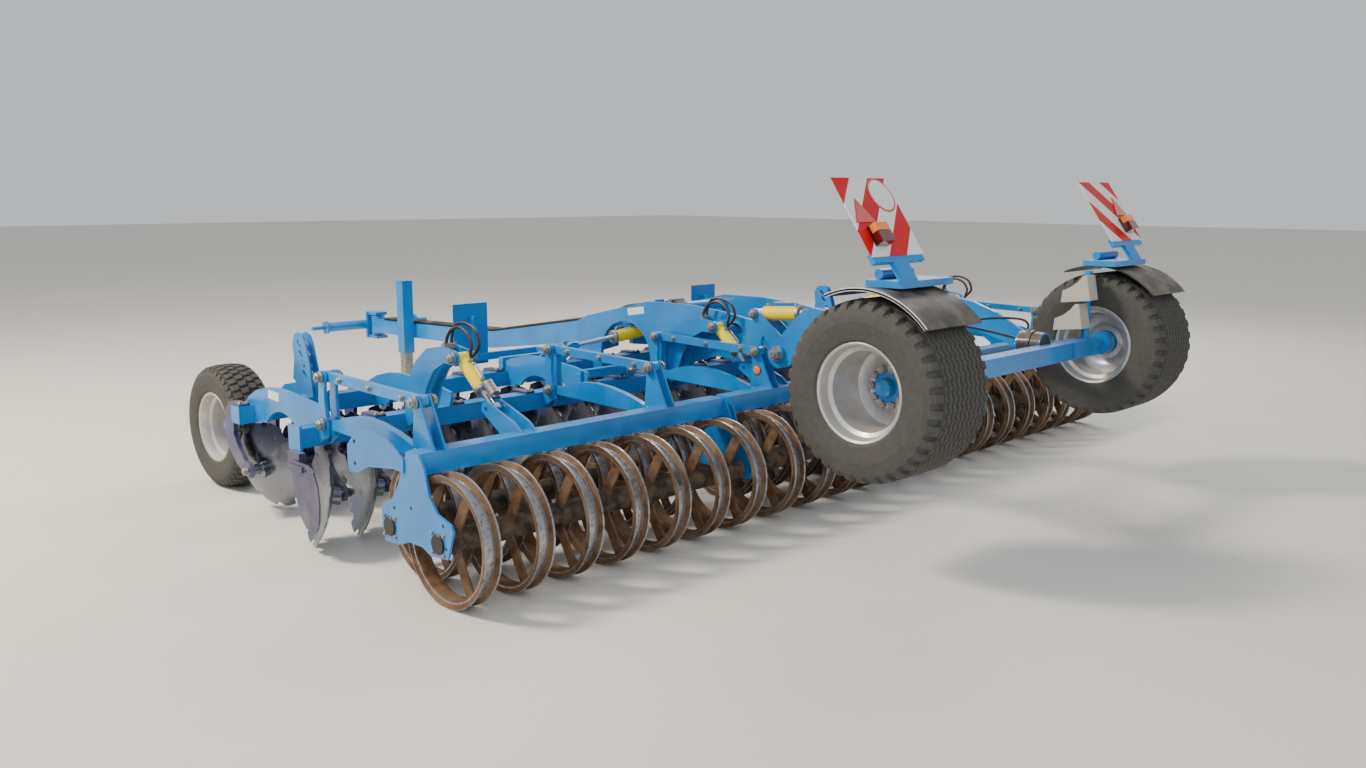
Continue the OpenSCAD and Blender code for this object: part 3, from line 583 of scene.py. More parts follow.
BLUE = Enamel("sky_blue_enamel", Paint.SKY_BLUE, Paint.DEEP_BLUE, 0.2)
NAVY = Enamel("navy_enamel", Paint.NAVY, Paint.VIOLET_STEEL, 0.5, 0.4)
YELLOW = Enamel("cylinder_yellow_enamel", Paint.YELLOW, Paint.DEEP_YELLOW, 0.2, 0.25)
CHAMBER = Enamel("chamber_black_enamel", Paint.GUARD, Paint.CAP, 0.8, 0.5)
DISC_STEEL = SoilPolishedSteel("soil_polished_spring_steel")
FRONT_ROLLER = RollerSteel("roller_front_steel", -1.720)
REAR_ROLLER = RollerSteel("roller_rear_steel", -2.110)
TYRE = DustyRubber("dusty_tyre_rubber")
ZINC = HotDipZinc("hot_dip_zinc")
PLATED = HotDipZinc("zinc_plated_fasteners", 4.0)
CHROME = HardChrome("hard_chrome_rod")
SILVER = SilverPaint("silver_wheel_paint")
GUARD = MouldedPlastic("moulded_guard_plastic", Paint.GUARD, 0.55)
TRIM = MouldedPlastic("light_edge_trim", Paint.TRIM, 0.3)
CHOCK = MouldedPlastic("weathered_grey_chock_plastic", Paint.PALE_GREY, 0.45, 0.6)
HOSE = MouldedPlastic("hydraulic_hose_cover", Paint.HOSE, 0.45, 0.5)
BLACK_CAP = MouldedPlastic("black_bearing_cap", Paint.CAP, 0.08, 0.4)
LABEL = MouldedPlastic("blank_white_film", Paint.WHITE, 0.4, 0.35)
RED_LENS = Lens("red_reflector", Paint.RED)
AMBER_LENS = Lens("amber_reflector", Paint.AMBER)
BOARD = StripedBoard("striped_reflective_film")
LAMP = TwoLenses("rear_lamp_lenses")


def new_piece(
    name: str, mesh: bpy.types.Mesh, finish: Finish, body: str | None, smooth_below: float
) -> bpy.types.Object:
    """Links a finished mesh as a piece that rides on a body.

    Args:
        name: Name of the piece.
        mesh: Its mesh, in the harrow's own frame.
        finish: Its finish.
        body: The body that it moves with, or None for a piece that is bent between two bodies.
        smooth_below: Edges that bend less than this many degrees are shaded smooth.

    Returns:
        The new object.
    """
    mesh.name = name
    mesh.materials.append(finish.material())
    if smooth_below > 0:
        mesh.shade_smooth()
        mesh.set_sharp_from_angle(angle=math.radians(smooth_below))
    piece = bpy.data.objects.new(name, mesh)
    bpy.context.scene.collection.objects.link(piece)
    if body is not None:
        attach(piece, body)
    log.info("%s: %d faces on %s", name, len(mesh.polygons), body or "two bodies")
    return piece


def circle(radius: float, steps: int) -> list[Pair]:
    """Points of a circle round the origin.

    Args:
        radius: The circle's radius.
        steps: Number of points.

    Returns:
        The points, in order.
    """
    angles = [2 * math.pi * i / steps for i in range(steps)]
    return [(radius * math.cos(a), radius * math.sin(a)) for a in angles]


def cut_corners(low: Pair, high: Pair, cut: float) -> list[Pair]:
    """A rectangle's outline with its corners taken off.

    Args:
        low: Its lowest corner.
        high: Its highest corner.
        cut: How much comes off each corner.

    Returns:
        The eight points of the outline.
    """
    (a, b), (c, d) = low, high
    foot = [(a + cut, b), (c - cut, b), (c, b + cut), (c, d - cut)]
    return foot + [(c - cut, d), (a + cut, d), (a, d - cut), (a, b + cut)]


def finer(profile: Profile, step: float, coarse: float, above: float) -> Profile:
    """Adds points along a closed profile, close together where it carries the tread.

    Args:
        profile: The closed profile.
        step: Largest distance between two points of the tread.
        coarse: Largest distance between two points elsewhere.
        above: Radius from which the tread begins.

    Returns:
        The profile with the added points.
    """
    out: Profile = []
    for (x0, r0), (x1, r1) in zip(profile, profile[1:] + profile[:1]):
        apart = step if max(r0, r1) > above else coarse
        pieces = max(1, math.ceil(math.hypot(x1 - x0, r1 - r0) / apart))
        out += [(x0 + (x1 - x0) * i / pieces, r0 + (r1 - r0) * i / pieces) for i in range(pieces)]
    return out


def eased(points: Sequence[Spot], per: int = 7) -> list[Vector]:
    """A smooth line through points, which is a Catmull-Rom spline.

    Args:
        points: The points that it passes through, in order.
        per: Pieces between two points.

    Returns:
        Points along the line, with its two ends.
    """
    known = [Vector(p) for p in points]
    known = [2 * known[0] - known[1], *known, 2 * known[-1] - known[-2]]
    line: list[Vector] = []
    for a, b, c, d in zip(known, known[1:], known[2:], known[3:]):
        for i in range(per):
            t = i / per
            square, cube = 2 * a - 5 * b + 4 * c - d, 3 * b - a - 3 * c + d
            line.append(0.5 * (2 * b + (c - a) * t + square * t * t + cube * t**3))
    return line + [known[-2]]


class Ends(Enum):
    """What closes the first and the last ring of a skin."""

    FACES = "one face on each"
    JOINED = "the other one"
    OPEN = "nothing"


# Washer, hex head and thread end of a bolt: radius, foot, length and chamfer as shares of the thread's
# diameter, and the number of sides
BOLT_PARTS = ((1.12, 0.0, 0.20, 0.03, 16), (0.92, 0.19, 0.72, 0.08, 6), (0.48, 0.90, 0.25, 0.06, 10))


@dataclass
class Bundle:
    """Small solids of one finish that are joined into one mesh."""

    edit: bmesh.types.BMesh = field(default_factory=bmesh.new)

    def skin(self, rings: Sequence[Sequence[Spot]], ends: Ends = Ends.FACES) -> Loops:
        """Joins rings of points by faces.

        Args:
            rings: Rings that have the same number of points.
            ends: What closes the first and the last ring.

        Returns:
            The rings' vertices.
        """
        loops = [[self.edit.verts.new(point) for point in ring] for ring in rings]
        if ends is Ends.FACES:
            self.edit.faces.new(loops[0][::-1])
            self.edit.faces.new(loops[-1])
        after = loops[1:] + (loops[:1] if ends is Ends.JOINED else [])
        for low, high in zip(loops, after):
            for i in range(len(low)):
                k = (i + 1) % len(low)
                self.edit.faces.new((low[i], low[k], high[k], high[i]))
        return loops

    def prism(self, at: Spot, axis: Spot, radius: float, length: float, sides: int, chamfer: float) -> None:
        """Adds a prism that starts at a point and runs along an axis.

        Args:
            at: Middle of its foot.
            axis: Direction that it runs in.
            radius: Radius to its corners.
            length: How far it runs.
            sides: Number of sides.
            chamfer: Width taken off the rim of its head.
        """
        move = Matrix.Translation(at) @ Vector(UP).rotation_difference(Vector(axis)).to_matrix().to_4x4()
        levels = [(radius, 0.0), (radius, length - chamfer), (radius - chamfer, length)]
        self.skin([[move @ Vector((x, y, z)) for x, y in circle(r, sides)] for r, z in levels])

    def bolt(self, at: Point, axis: Point, size: float) -> None:
        """Adds a washer, a hex head and a thread end.

        Args:
            at: Where the bolt's axis meets the surface that it sits on.
            axis: Direction that the head faces.
            size: Diameter of the thread, from which the rest follows.
        """
        way = Vector(axis).normalized()
        # Sunk a little, so that no light shows under the washer
        start = Vector(at) - way * 0.0004
        for radius, foot, length, chamfer, sides in BOLT_PARTS:
            self.prism(start + way * size * foot, axis, size * radius, size * length, sides, size * chamfer)

    def tube(self, line: Sequence[Vector], radius: float, sides: int = 12) -> None:
        """Adds a round tube along a smooth line, closed at both ends.

        Args:
            line: The tube's middle line.
            radius: The tube's outer radius.
            sides: Number of sides of its section.
        """
        rings = []
        normal = (line[1] - line[0]).orthogonal().normalized()
        for i, at in enumerate(line):
            way = (line[min(i + 1, len(line) - 1)] - line[max(i - 1, 0)]).normalized()
            normal = (normal - way * normal.dot(way)).normalized()
            side = way.cross(normal)
            rings.append([at + c * normal + s * side for c, s in circle(radius, sides)])
        self.skin(rings)

    def slab(self, outline: Sequence[Pair], start: float, end: float) -> None:
        """Adds a plate whose outline lies across X.

        Args:
            outline: The outline's points as (Y, Z), in order.
            start: Where the plate begins along X.
            end: Where it ends.
        """
        self.skin([[(x, y, z) for y, z in outline] for x in (start, end)])

    def mesh(self) -> bpy.types.Mesh:
        """Joins the solids.

        Returns:
            All the solids as one mesh.
        """
        out = bpy.data.meshes.new("bundle")
        bmesh.ops.recalc_face_normals(self.edit, faces=self.edit.faces)
        self.edit.to_mesh(out)
        self.edit.free()
        return out


def turned(profile: Profile, steps: int, centre: Point, depth: Tread | None = None) -> bpy.types.Mesh:
    """Turns a closed profile of (x, radius) pairs round an axle along X.

    Args:
        profile: The profile's points, the last joined to the first.
        steps: Pieces round the axle.
        centre: Middle of the axle.
        depth: How much to take off the radius at (x, radius, angle).

    Returns:
        The closed mesh.
    """
    rings = []
    for i in range(steps):
        angle = 2 * math.pi * i / steps
        c, s = math.cos(angle), math.sin(angle)
        cut = [(x, r - depth(x, r, angle)) for x, r in profile] if depth else profile
        rings.append([(centre[0] + x, centre[1] + r * c, centre[2] + r * s) for x, r in cut])
    shape = Bundle()
    shape.skin(rings, Ends.JOINED)
    return shape.mesh()


@dataclass
class Wheel:
    """A tyre, a rim and a hub that stand for one CAD wheel. These sizes are the wide transport wheel's.

    The place is the right wheel's. Steps are the pieces round the tyre, blocks the waves of its ribs, and
    strips the ribs on either side of its middle.
    """

    side: int
    word: str
    kind: str = "wheel"
    place: Point = (1.210, *WHEEL_AXLE)
    diameter: float = 0.866
    width: float = 0.490
    rim: float = 0.458
    hub: float = 0.072
    nuts: int = 10
    nut: float = 0.020
    disc_at: float = 0.040
    steps: int = 432
    blocks: int = 54
    strips: float = 4.5
    groove: float = 0.013
    lug_groove: float = 0.016
    # Share of the width that carries ribs, shares of a strip and of a lug's pitch that are groove, blocks to
    # a lug, and how far the ribs wave
    ribbed: float = 0.70
    strip_gap: float = 0.15
    lug_gap: float = 0.34
    lug_pitch: float = 1.5
    wave: float = 0.0055
    fine: float = 0.0055
    coarse: float = 0.030
    shoulder: float = 0.048

    def tyre_section(self) -> Profile:
        """The tyre's closed section, from its bead on the rim over sidewall and shoulder to the tread.

        Returns:
            The section's points as (x, radius).
        """
        r, h, rr = self.diameter / 2, self.width / 2, self.rim / 2
        mid = (rr + r) / 2
        half = [(-h + 0.030, rr - 0.004), (-h + 0.012, rr + 0.020)]
        half += [(-h + 0.003, mid - 0.03), (-h, mid), (-h + 0.003, mid + 0.03)]
        half += [(-h + 0.010, r - 0.040), (-h + 0.022, r - 0.020), (-h + 0.042, r - 0.008), (-h + 0.090, r)]
        return half + [(-x, y) for x, y in reversed(half)]

    def rim_section(self) -> Profile:
        """The rim's closed section, with rolled lips, bead seats and a well.

        Returns:
            The section's points as (x, radius).
        """
        rr, lip = self.rim / 2, self.width / 2 - 0.022
        out = [(-lip, rr + 0.010), (-lip - 0.005, rr + 0.004), (-lip, rr - 0.006), (-lip + 0.022, rr - 0.014)]
        out += [(-lip + 0.050, rr - 0.017), (-lip + 0.062, rr - 0.036), (lip * 0.1, rr - 0.042)]
        out += [(lip - 0.062, rr - 0.036), (lip - 0.050, rr - 0.017), (lip - 0.022, rr - 0.014)]
        out += [(lip, rr - 0.006), (lip + 0.005, rr + 0.004), (lip, rr + 0.010)]
        return out + [(lip - 0.030, rr + 0.001), (-lip + 0.030, rr + 0.001)]

    def dish_section(self) -> Profile:
        """The pressed disc between hub and rim, with x counted inwards.

        Returns:
            The section's points as (x, radius).
        """
        at, hub, rr = self.disc_at, self.hub, self.rim / 2
        out = [(at - 0.020, hub), (at - 0.022, hub + 0.030), (at + 0.004, hub + 0.055)]
        out += [(at + 0.010, rr - 0.060), (at - 0.006, rr - 0.034)]
        out += [(at + 0.004, rr - 0.034), (at + 0.020, rr - 0.060)]
        return out + [(at + 0.014, hub + 0.055), (at - 0.010, hub + 0.030), (at - 0.008, hub)]

    def hub_section(self) -> Profile:
        """The hub's cap and flange, with x counted inwards.

        Returns:
            The section's points as (x, radius).
        """
        at, hub = self.disc_at, self.hub
        out = [(at - 0.030, 0.002), (at - 0.075, 0.003), (at - 0.080, hub * 0.45), (at - 0.070, hub * 0.6)]
        out += [(at - 0.028, hub * 0.66), (at - 0.026, hub + 0.004), (at - 0.012, hub + 0.004)]
        return out + [(at - 0.010, 0.002)]

    def tread(self, x: float, turn: float) -> float:
        """Depth of the full tread: wavy ribs in the middle, and lugs on the shoulders.

        Args:
            x: Distance from the tyre's middle.
            turn: Angle round the axle, in blocks.

        Returns:
            The depth in metres.
        """
        ribs = self.width / 2 * self.ribbed
        if abs(x) < ribs:
            strip = (x + self.wave * math.sin(turn * 2 * math.pi)) / (ribs / self.strips)
            return self.groove if abs(strip - round(strip)) < self.strip_gap else 0.0
        # The lugs of one side stand half a pitch before those of the other
        part = (turn / self.lug_pitch + (0.5 if x > 0 else 0.0)) % 1.0
        edge = self.width / 2 * (self.ribbed + 0.025)
        return self.lug_groove if part < self.lug_gap or abs(x) < edge else 0.0

    def depth(self, x: float, r: float, angle: float) -> float:
        """Depth of the tread at a place across and round the tyre, where it fades out on the shoulders.

        Args:
            x: Distance from the tyre's middle.
            r: Radius of the tyre's outer shape there.
            angle: Angle round the axle, in radians.

        Returns:
            How far the surface lies below the tyre's outer shape, in metres.
        """
        fade = min(1.0, max(0.0, (r - self.diameter / 2 + self.shoulder) / (self.shoulder / 2)))
        return fade * self.tread(x, angle * self.blocks / (2 * math.pi)) if fade else 0.0

    def build(self) -> None:
        """Builds tyre, rim, dish, hub and nuts, and hides the CAD wheel behind them."""
        name, side = f"{self.kind}_{self.word}", self.side
        centre = (side * self.place[0], self.place[1], self.place[2])
        section = finer(self.tyre_section(), self.fine, self.coarse, self.diameter / 2 - self.shoulder)
        tyre = new_piece(f"tyre_{name}", turned(section, self.steps, centre, self.depth), TYRE, name, 0)
        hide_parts(name)
        new_piece(f"rim_{name}", turned(self.rim_section(), 96, centre), SILVER, name, 40)
        dish, hub = [[(side * -x, r) for x, r in part] for part in (self.dish_section(), self.hub_section())]
        new_piece(f"dish_{name}", turned(dish, 96, centre), SILVER, name, 40)
        new_piece(f"hub_{name}", turned(hub, 64, centre), BLUE, name, 40)
        ring = Bundle()
        for y, z in circle(self.hub + 0.016, self.nuts):
            foot = (centre[0] + side * (0.022 - self.disc_at), centre[1] + y, centre[2] + z)
            ring.bolt(foot, (side, 0, 0), self.nut)
        new_piece(f"nuts_{name}", ring.mesh(), PLATED, name, 20)


@dataclass
class DepthWheel(Wheel):
    """One of the two narrow wheels in front that set the working depth.

    Here blocks are those of one row round the tyre, and strips are the rows across it.
    """

    kind: str = "depth_wheel"
    place: Point = (2.680, 0.660, 0.380)
    diameter: float = 0.760
    width: float = 0.264
    rim: float = 0.415
    hub: float = 0.060
    nuts: int = 8
    steps: int = 384
    blocks: int = 42
    strips: float = 5.0
    lug_gap: float = 0.27
    wave: float = 0.003
    slant: float = 0.18

    def tread(self, x: float, turn: float) -> float:
        """Depth of the full tread: rows of slanted blocks, each row shifted by half a block.

        Args:
            x: Distance from the tyre's middle.
            turn: Angle round the axle, in blocks.

        Returns:
            The depth in metres.
        """
        strip = (x + self.wave * math.sin(turn * 2 * math.pi)) / self.width * self.strips
        row = math.floor(strip)
        part = (turn + 0.5 * (row % 2) + self.slant * (strip - row)) % 1.0
        return self.groove if part < self.lug_gap or strip - row < self.strip_gap else 0.0


@dataclass(frozen=True)
class Section:
    """One of the harrow's three sections, and where its links, horn and roller ends stand along X."""

    word: str
    base: str
    links: Pair
    horn: float
    ends: Pair


SECTIONS = (
    Section("left", "wing_left", (-2.890, -1.437), -2.370, (-3.010, -1.015)),
    Section("centre", "frame", (-0.560, 0.560), -0.450, (-0.985, 0.985)),
    Section("right", "wing_right", (1.437, 2.890), 2.370, (1.015, 3.010)),
)


@dataclass
class Linkage:
    """Pins, washers and nuts of the links, horns and roller frames."""

    front_y: float = -0.985
    rear_y: float = -1.83483
    front_z: Pair = (0.657, 0.898)
    drop: float = 0.017
    pin: float = 0.028
    link_bolt: float = 0.016
    # Distances of the washers from the middle of what they hold
    front_out: float = 0.046
    rear_out: float = 0.044
    link_out: float = 0.018
    horn_out: float = 0.056

    def build(self) -> None:
        """Builds one bundle of fasteners for each body that carries pins."""
        for section in SECTIONS:
            front, rear, links = Bundle(), Bundle(), Bundle()
            for x in section.links:
                for way in (-1, 1):
                    for z in self.front_z:
                        front.bolt((x + way * self.front_out, self.front_y, z), (way, 0, 0), self.pin)
                        end = (x + way * self.rear_out, self.rear_y, z - self.drop)
                        rear.bolt(end, (way, 0, 0), self.pin)
                    for share in (0.17, 0.5, 0.84):
                        y = self.front_y + share * (self.rear_y - self.front_y)
                        z = self.front_z[1] - self.drop * share
                        links.bolt((x + way * self.link_out, y, z), (way, 0, 0), self.link_bolt)
            for way in (-1, 1):
                front.bolt((section.horn + way * self.horn_out, *HORN_PIN), (way, 0, 0), self.pin)
            new_piece(f"pins_front_{section.word}", front.mesh(), PLATED, section.base, 20)
            new_piece(f"pins_rear_{section.word}", rear.mesh(), PLATED, f"roller_{section.word}", 20)
            new_piece(f"link_bolts_{section.word}", links.mesh(), PLATED, f"upper_links_{section.word}", 20)


@dataclass
class RollerEnds:
    """Bearing caps and bolts on the outer faces of the roller frames."""

    axles: Pair = (FRONT_ROLLER.axle_y, REAR_ROLLER.axle_y)
    height: float = FRONT_ROLLER.axle_z
    cap: Stub = (0.046, 0.0095, 32, 0.003)
    bolts: float = 0.062

    def build(self) -> None:
        """Builds black caps round the axles and the bolts that hold them."""
        for section in SECTIONS:
            caps, bolts = Bundle(), Bundle()
            for face, way in zip(section.ends, (-1, 1)):
                for y in self.axles:
                    caps.prism((face, y, self.height), (way, 0, 0), *self.cap)
                    for a in (45, 135, 225, 315):
                        s, c = math.sin(math.radians(a)), math.cos(math.radians(a))
                        at = (face, y + self.bolts * c, self.height + self.bolts * s)
                        bolts.bolt(at, (way, 0, 0), 0.010)
            body = f"roller_{section.word}"
            new_piece(f"bearing_caps_{section.word}", caps.mesh(), BLACK_CAP, body, 30)
            new_piece(f"bearing_bolts_{section.word}", bolts.mesh(), PLATED, body, 20)


@dataclass
class CylinderTrim:
    """Gland collar, ports, oil pipe and stop clips of one hydraulic cylinder."""

    name: str
    body: str
    start: Point
    end: Point
    radius: float
    reach: float
    bore: float = 0.017
    clip_pitch: float = 0.0205
    clip_width: float = 0.0185
    clip_radii: Pair = (0.028, 0.0165)
    port: Stub = (0.0125, 0.010, 20, 0.001)
    fitting: Stub = (0.0115, 0.011, 6, 0.001)

    def frame(self) -> Matrix:
        """Where the cylinder lies.

        Returns:
            A matrix whose X runs along the cylinder from its base pin, and whose Z points to its ports.
        """
        along = (Vector(self.end) - Vector(self.start)).normalized()
        side = Vector(UP).cross(along).normalized()
        turn = Matrix((along, side, along.cross(side))).transposed().to_4x4()
        return Matrix.Translation(self.start) @ turn

    def build(self) -> None:
        """Builds the collar, both ports with their fittings, and the pipe between them."""
        move, r = self.frame(), self.radius
        collar = [(-0.016, r - 0.002), (-0.014, r + 0.004), (0.003, r + 0.004), (0.006, r + 0.001)]
        collar += [(0.006, self.bore), (0.001, self.bore), (0.001, r - 0.002)]
        ring = turned([(self.reach + x, y) for x, y in collar], 48, (0.0, 0.0, 0.0))
        ring.transform(move)
        new_piece(f"collar_{self.name}", ring, PLATED, self.body, 35)
        parts = Bundle()
        up = move.to_3x3() @ Vector(UP)
        near, far = 0.062, self.reach - 0.034
        for x in (near, far):
            foot = move @ Vector((x, 0, r - 0.003))
            parts.prism(foot, up, *self.port)
            parts.prism(foot + up * 0.0095, up, *self.fitting)
        high = r + 0.022
        route = [(far, 0, r + 0.010), (far, 0, high - 0.005), (far - 0.010, 0, high), (far - 0.030, 0, high)]
        route += [(0.120, 0, high), (0.105, 0.004, high - 0.002)]
        route += [(0.085, 0.014, r + 0.009), (0.080, 0.020, r - 0.006)]
        parts.tube(eased([move @ Vector(p) for p in route], 6), 0.005)
        new_piece(f"ports_{self.name}", parts.mesh(), PLATED, self.body, 35)

    def clips(self, body: str, start: float, count: int, lift: float) -> None:
        """Builds the zinc-plated clips that stop the cylinder's stroke, side by side.

        Args:
            body: Body that they move with.
            start: Where the first one begins along the cylinder.
            count: How many there are.
            lift: How far they stand off the rod's axis, towards the ports.
        """
        move = self.frame() @ Matrix.Translation((0, 0, lift))
        parts = Bundle()
        # A clip is open on the side away from the ports, where its arc leaves out 60 degrees
        arc = [math.radians(-60 + 15 * step) for step in range(21)]
        half = len(arc)
        for i in range(count):
            # Clips that hang above the rod lean a little to one side and the other
            turn = (0.12 if i % 2 else -0.06) if lift else 0.0
            outer, inner = self.clip_radii
            outline = [(outer * math.cos(a + turn), outer * math.sin(a + turn)) for a in arc]
            outline += [(inner * math.cos(a + turn), inner * math.sin(a + turn)) for a in reversed(arc)]
            places = [start + i * self.clip_pitch + width for width in (0.0, self.clip_width)]
            loops = parts.skin([[move @ Vector((x, y, z)) for y, z in outline] for x in places], Ends.OPEN)
            for loop, turns in zip(loops, (-1, 1)):
                for j in range(half - 1):
                    quad = (loop[j], loop[j + 1], loop[2 * half - 2 - j], loop[2 * half - 1 - j])
                    parts.edit.faces.new(quad[::turns])
        new_piece(f"stop_clips_{self.name}", parts.mesh(), PLATED, body, 35)


@dataclass
class HornHoses:
    """Hoses of a depth cylinder: a stiff loop over the horn, and their way down between its plates."""

    section: Section
    radius: float = 0.0085
    apart: float = 0.017
    wider: float = 0.018
    clamp_y: float = -1.285
    foot: Pair = (-0.9380, 0.6340)
    ferrule: Stub = (0.0120, 0.0260, 6, 0.001)

    def build(self) -> None:
        """Builds loops, runs, and the clamp that holds both on the horn."""
        loops, runs, hold = Bundle(), Bundle(), Bundle()
        word, middle, base = self.section.word, self.section.horn, self.section.base
        for side, grow in ((-1, 0.0), (1, self.wider)):
            x = middle + side * self.apart
            over = [(middle, -1.4794, 0.9943), (x, -1.4990, 1.0210), (x, -1.5080 - grow, 1.0640)]
            over += [(x, -1.4750 - grow, 1.1130 + grow), (x, -1.4080, 1.1400 + grow)]
            over += [(x, -1.3390 + grow, 1.1230 + grow), (x, -1.2980 + grow * 0.5, 1.0800)]
            loops.tube(eased(over + [(x, self.clamp_y, 1.0360)]), self.radius)
            down = [(self.clamp_y, 1.0400), (-1.2780, 1.0120), (-1.2450, 0.9990), (-1.1800, 0.9880)]
            down += [(-1.1200, 0.9600), (-1.0500, 0.8850), (-0.9900, 0.7900), (-0.9500, 0.7000)]
            down.append((self.foot[0], self.foot[1] + 0.0140))
            runs.tube(eased([(x, y, z) for y, z in down]), self.radius)
            hold.prism((x, *self.foot), UP, *self.ferrule)
            hold.bolt((middle + side * 0.0300, self.clamp_y, 1.0478), UP, 0.006)
        clamp = cut_corners((self.clamp_y - 0.015, 1.0160), (self.clamp_y + 0.015, 1.0480), 0.004)
        hold.slab(clamp, middle - 0.0365, middle + 0.0365)
        bent = new_piece(f"hose_loops_{word}", loops.mesh(), HOSE, None, 60)
        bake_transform(bent)
        new_piece(f"hose_runs_{word}", runs.mesh(), HOSE, base, 60)
        new_piece(f"hose_clamp_{word}", hold.mesh(), PLATED, base, 30)


@dataclass
class Cylinders:
    """Trim of all hydraulic cylinders, from the places of their two pins."""

    depth_pins: tuple[Pair, Pair] = (HORN_PIN, ROLLER_PIN)
    lift_pins: tuple[Point, Point] = (LIFT_PIN, (0.540, -2.263, 1.136))
    fold_pins: tuple[Point, Point] = (FOLD_PIN, (0.870, -0.470, 0.810))

    def build(self) -> None:
        """Builds the trim of three depth, two lift and two fold cylinders, and the depth cylinders' hoses."""
        for section in SECTIONS:
            HornHoses(section).build()
            barrel = f"depth_barrel_{section.word}"
            start, end = [(section.horn, *pin) for pin in self.depth_pins]
            depth = CylinderTrim(f"depth_{section.word}", barrel, start, end, radius=0.036, reach=0.225)
            depth.build()
            depth.clips(barrel, start=0.232, count=4, lift=0.060)
        for side, word in SIDES:
            start, end = [(side * x, y, z) for x, y, z in self.lift_pins]
            lift = CylinderTrim(f"lift_{word}", "lift_barrels", start, end, radius=0.042, reach=0.305)
            lift.build()
            lift.clips("lift_rods", start=0.312, count=4, lift=0.0)
            start, end = [(side * x, y, z) for x, y, z in self.fold_pins]
            CylinderTrim(f"fold_{word}", f"fold_barrel_{word}", start, end, radius=0.042, reach=0.400).build()


@dataclass
class SpineHoses:
    """Four hoses from the drawbar over the cross tubes to the valve block of the axle."""

    radius: float = 0.011
    starts: tuple[float, ...] = (-0.048, -0.016, 0.016, 0.048)
    coupling: Pair = (0.130, 0.9062)
    first: float = -0.078
    pitch: float = 0.025
    block_y: float = -2.060
    block_top: float = 0.950
    nut: Stub = (0.0150, 0.020, 6, 0.0015)
    collar: Stub = (0.0130, 0.030, 16, 0.0010)
    end_nut: Stub = (0.0130, 0.024, 6, 0.001)

    def route(self, i: int, x: float) -> list[Point]:
        """The way of one hose, with a little sag of its own.

        Args:
            i: Number of the hose.
            x: Where it lies along X once it has left the drawbar.

        Returns:
            The points that it passes through.
        """
        start, (y, z) = self.starts[i], self.coupling
        way = [(0.0, y - 0.020, z + 0.003), (0.1, 0.020, 0.932), (0.45, -0.090, 0.965), (0.85, -0.210, 1.003)]
        out = [(start * (1 - share) + x * share, y, z) for share, y, z in way]
        out += [(x, -0.320, 1.024), (x, -0.400, 1.0264), (x, -0.540, 1.0264), (x, -0.620, 1.054)]
        out += [(x, -0.700, 1.0764), (x, -0.790, 1.060 - 0.004 * i), (x, -0.960, 0.998 - 0.006 * (i % 2))]
        out += [(x, -1.130, 0.972), (x, -1.250, 0.9764), (x, -1.360, 0.975 - 0.005 * i)]
        out += [(x, -1.560, 0.955 - 0.006 * (i % 3)), (x, -1.780, 0.958), (x, -1.920, 0.975)]
        return out + [(x, -2.000, 0.985), (x, -2.035, 0.985)]

    def build(self) -> None:
        """Builds hoses, their couplings, the block and two clamps."""
        hoses, steel = Bundle(), Bundle()
        y0, z0 = self.coupling
        way = Vector((0, -1100, 172)).normalized()
        for i, start in enumerate(self.starts):
            x = self.first - (3 - i) * self.pitch
            steel.prism((start, y0 + 0.018, z0 - 0.0028), way, *self.nut)
            steel.prism((start, y0, z0), way, *self.collar)
            hoses.tube(eased(self.route(i, x)), self.radius)
            steel.prism((x, -2.022, 0.985), (0, 1, 0), *self.end_nut)
        low, high = self.first - 3 * self.pitch - 0.022, self.first + 0.022
        y, z = self.block_y, self.block_top
        steel.slab(cut_corners((y - 0.042, z - 0.006), (y + 0.042, z + 0.064), 0.004), low, high)
        for x in (low + 0.020, high - 0.020):
            steel.bolt((x, y, z + 0.0638), UP, 0.012)
        for y, z in ((-0.470, 1.0148), (-0.700, 1.0640)):
            strap = cut_corners((y - 0.014, z - 0.002), (y + 0.014, z + 0.030), 0.003)
            steel.slab(strap, low - 0.006, high + 0.006)
        new_piece("spine_hoses", hoses.mesh(), HOSE, "frame", 60)
        new_piece("spine_hose_fittings", steel.mesh(), PLATED, "frame", 30)


@dataclass
class SideReflectors:
    """Round amber reflectors on the outer faces of the middle roller frame's uprights."""

    face: float = 0.5950
    at: Pair = (-1.852, 0.775)
    radius: float = 0.028

    def build(self) -> None:
        """Builds a dark base and a domed lens on either side."""
        r = self.radius
        base = [(-0.0005, 0.002), (-0.0005, r), (0.004, r), (0.004, 0.002)]
        dome = [(0.0035, 0.002), (0.0035, r - 0.002), (0.0055, r - 0.0025)]
        dome += [(0.0075, r - 0.007), (0.0085, r * 0.4), (0.0087, 0.002)]
        for side, word in SIDES:
            for name, profile, finish in (("base", base, BLACK_CAP), ("lens", dome, AMBER_LENS)):
                mesh = turned([(side * x, y) for x, y in profile], 48, (side * self.face, *self.at))
                new_piece(f"reflector_{name}_{word}", mesh, finish, "roller_centre", 35)


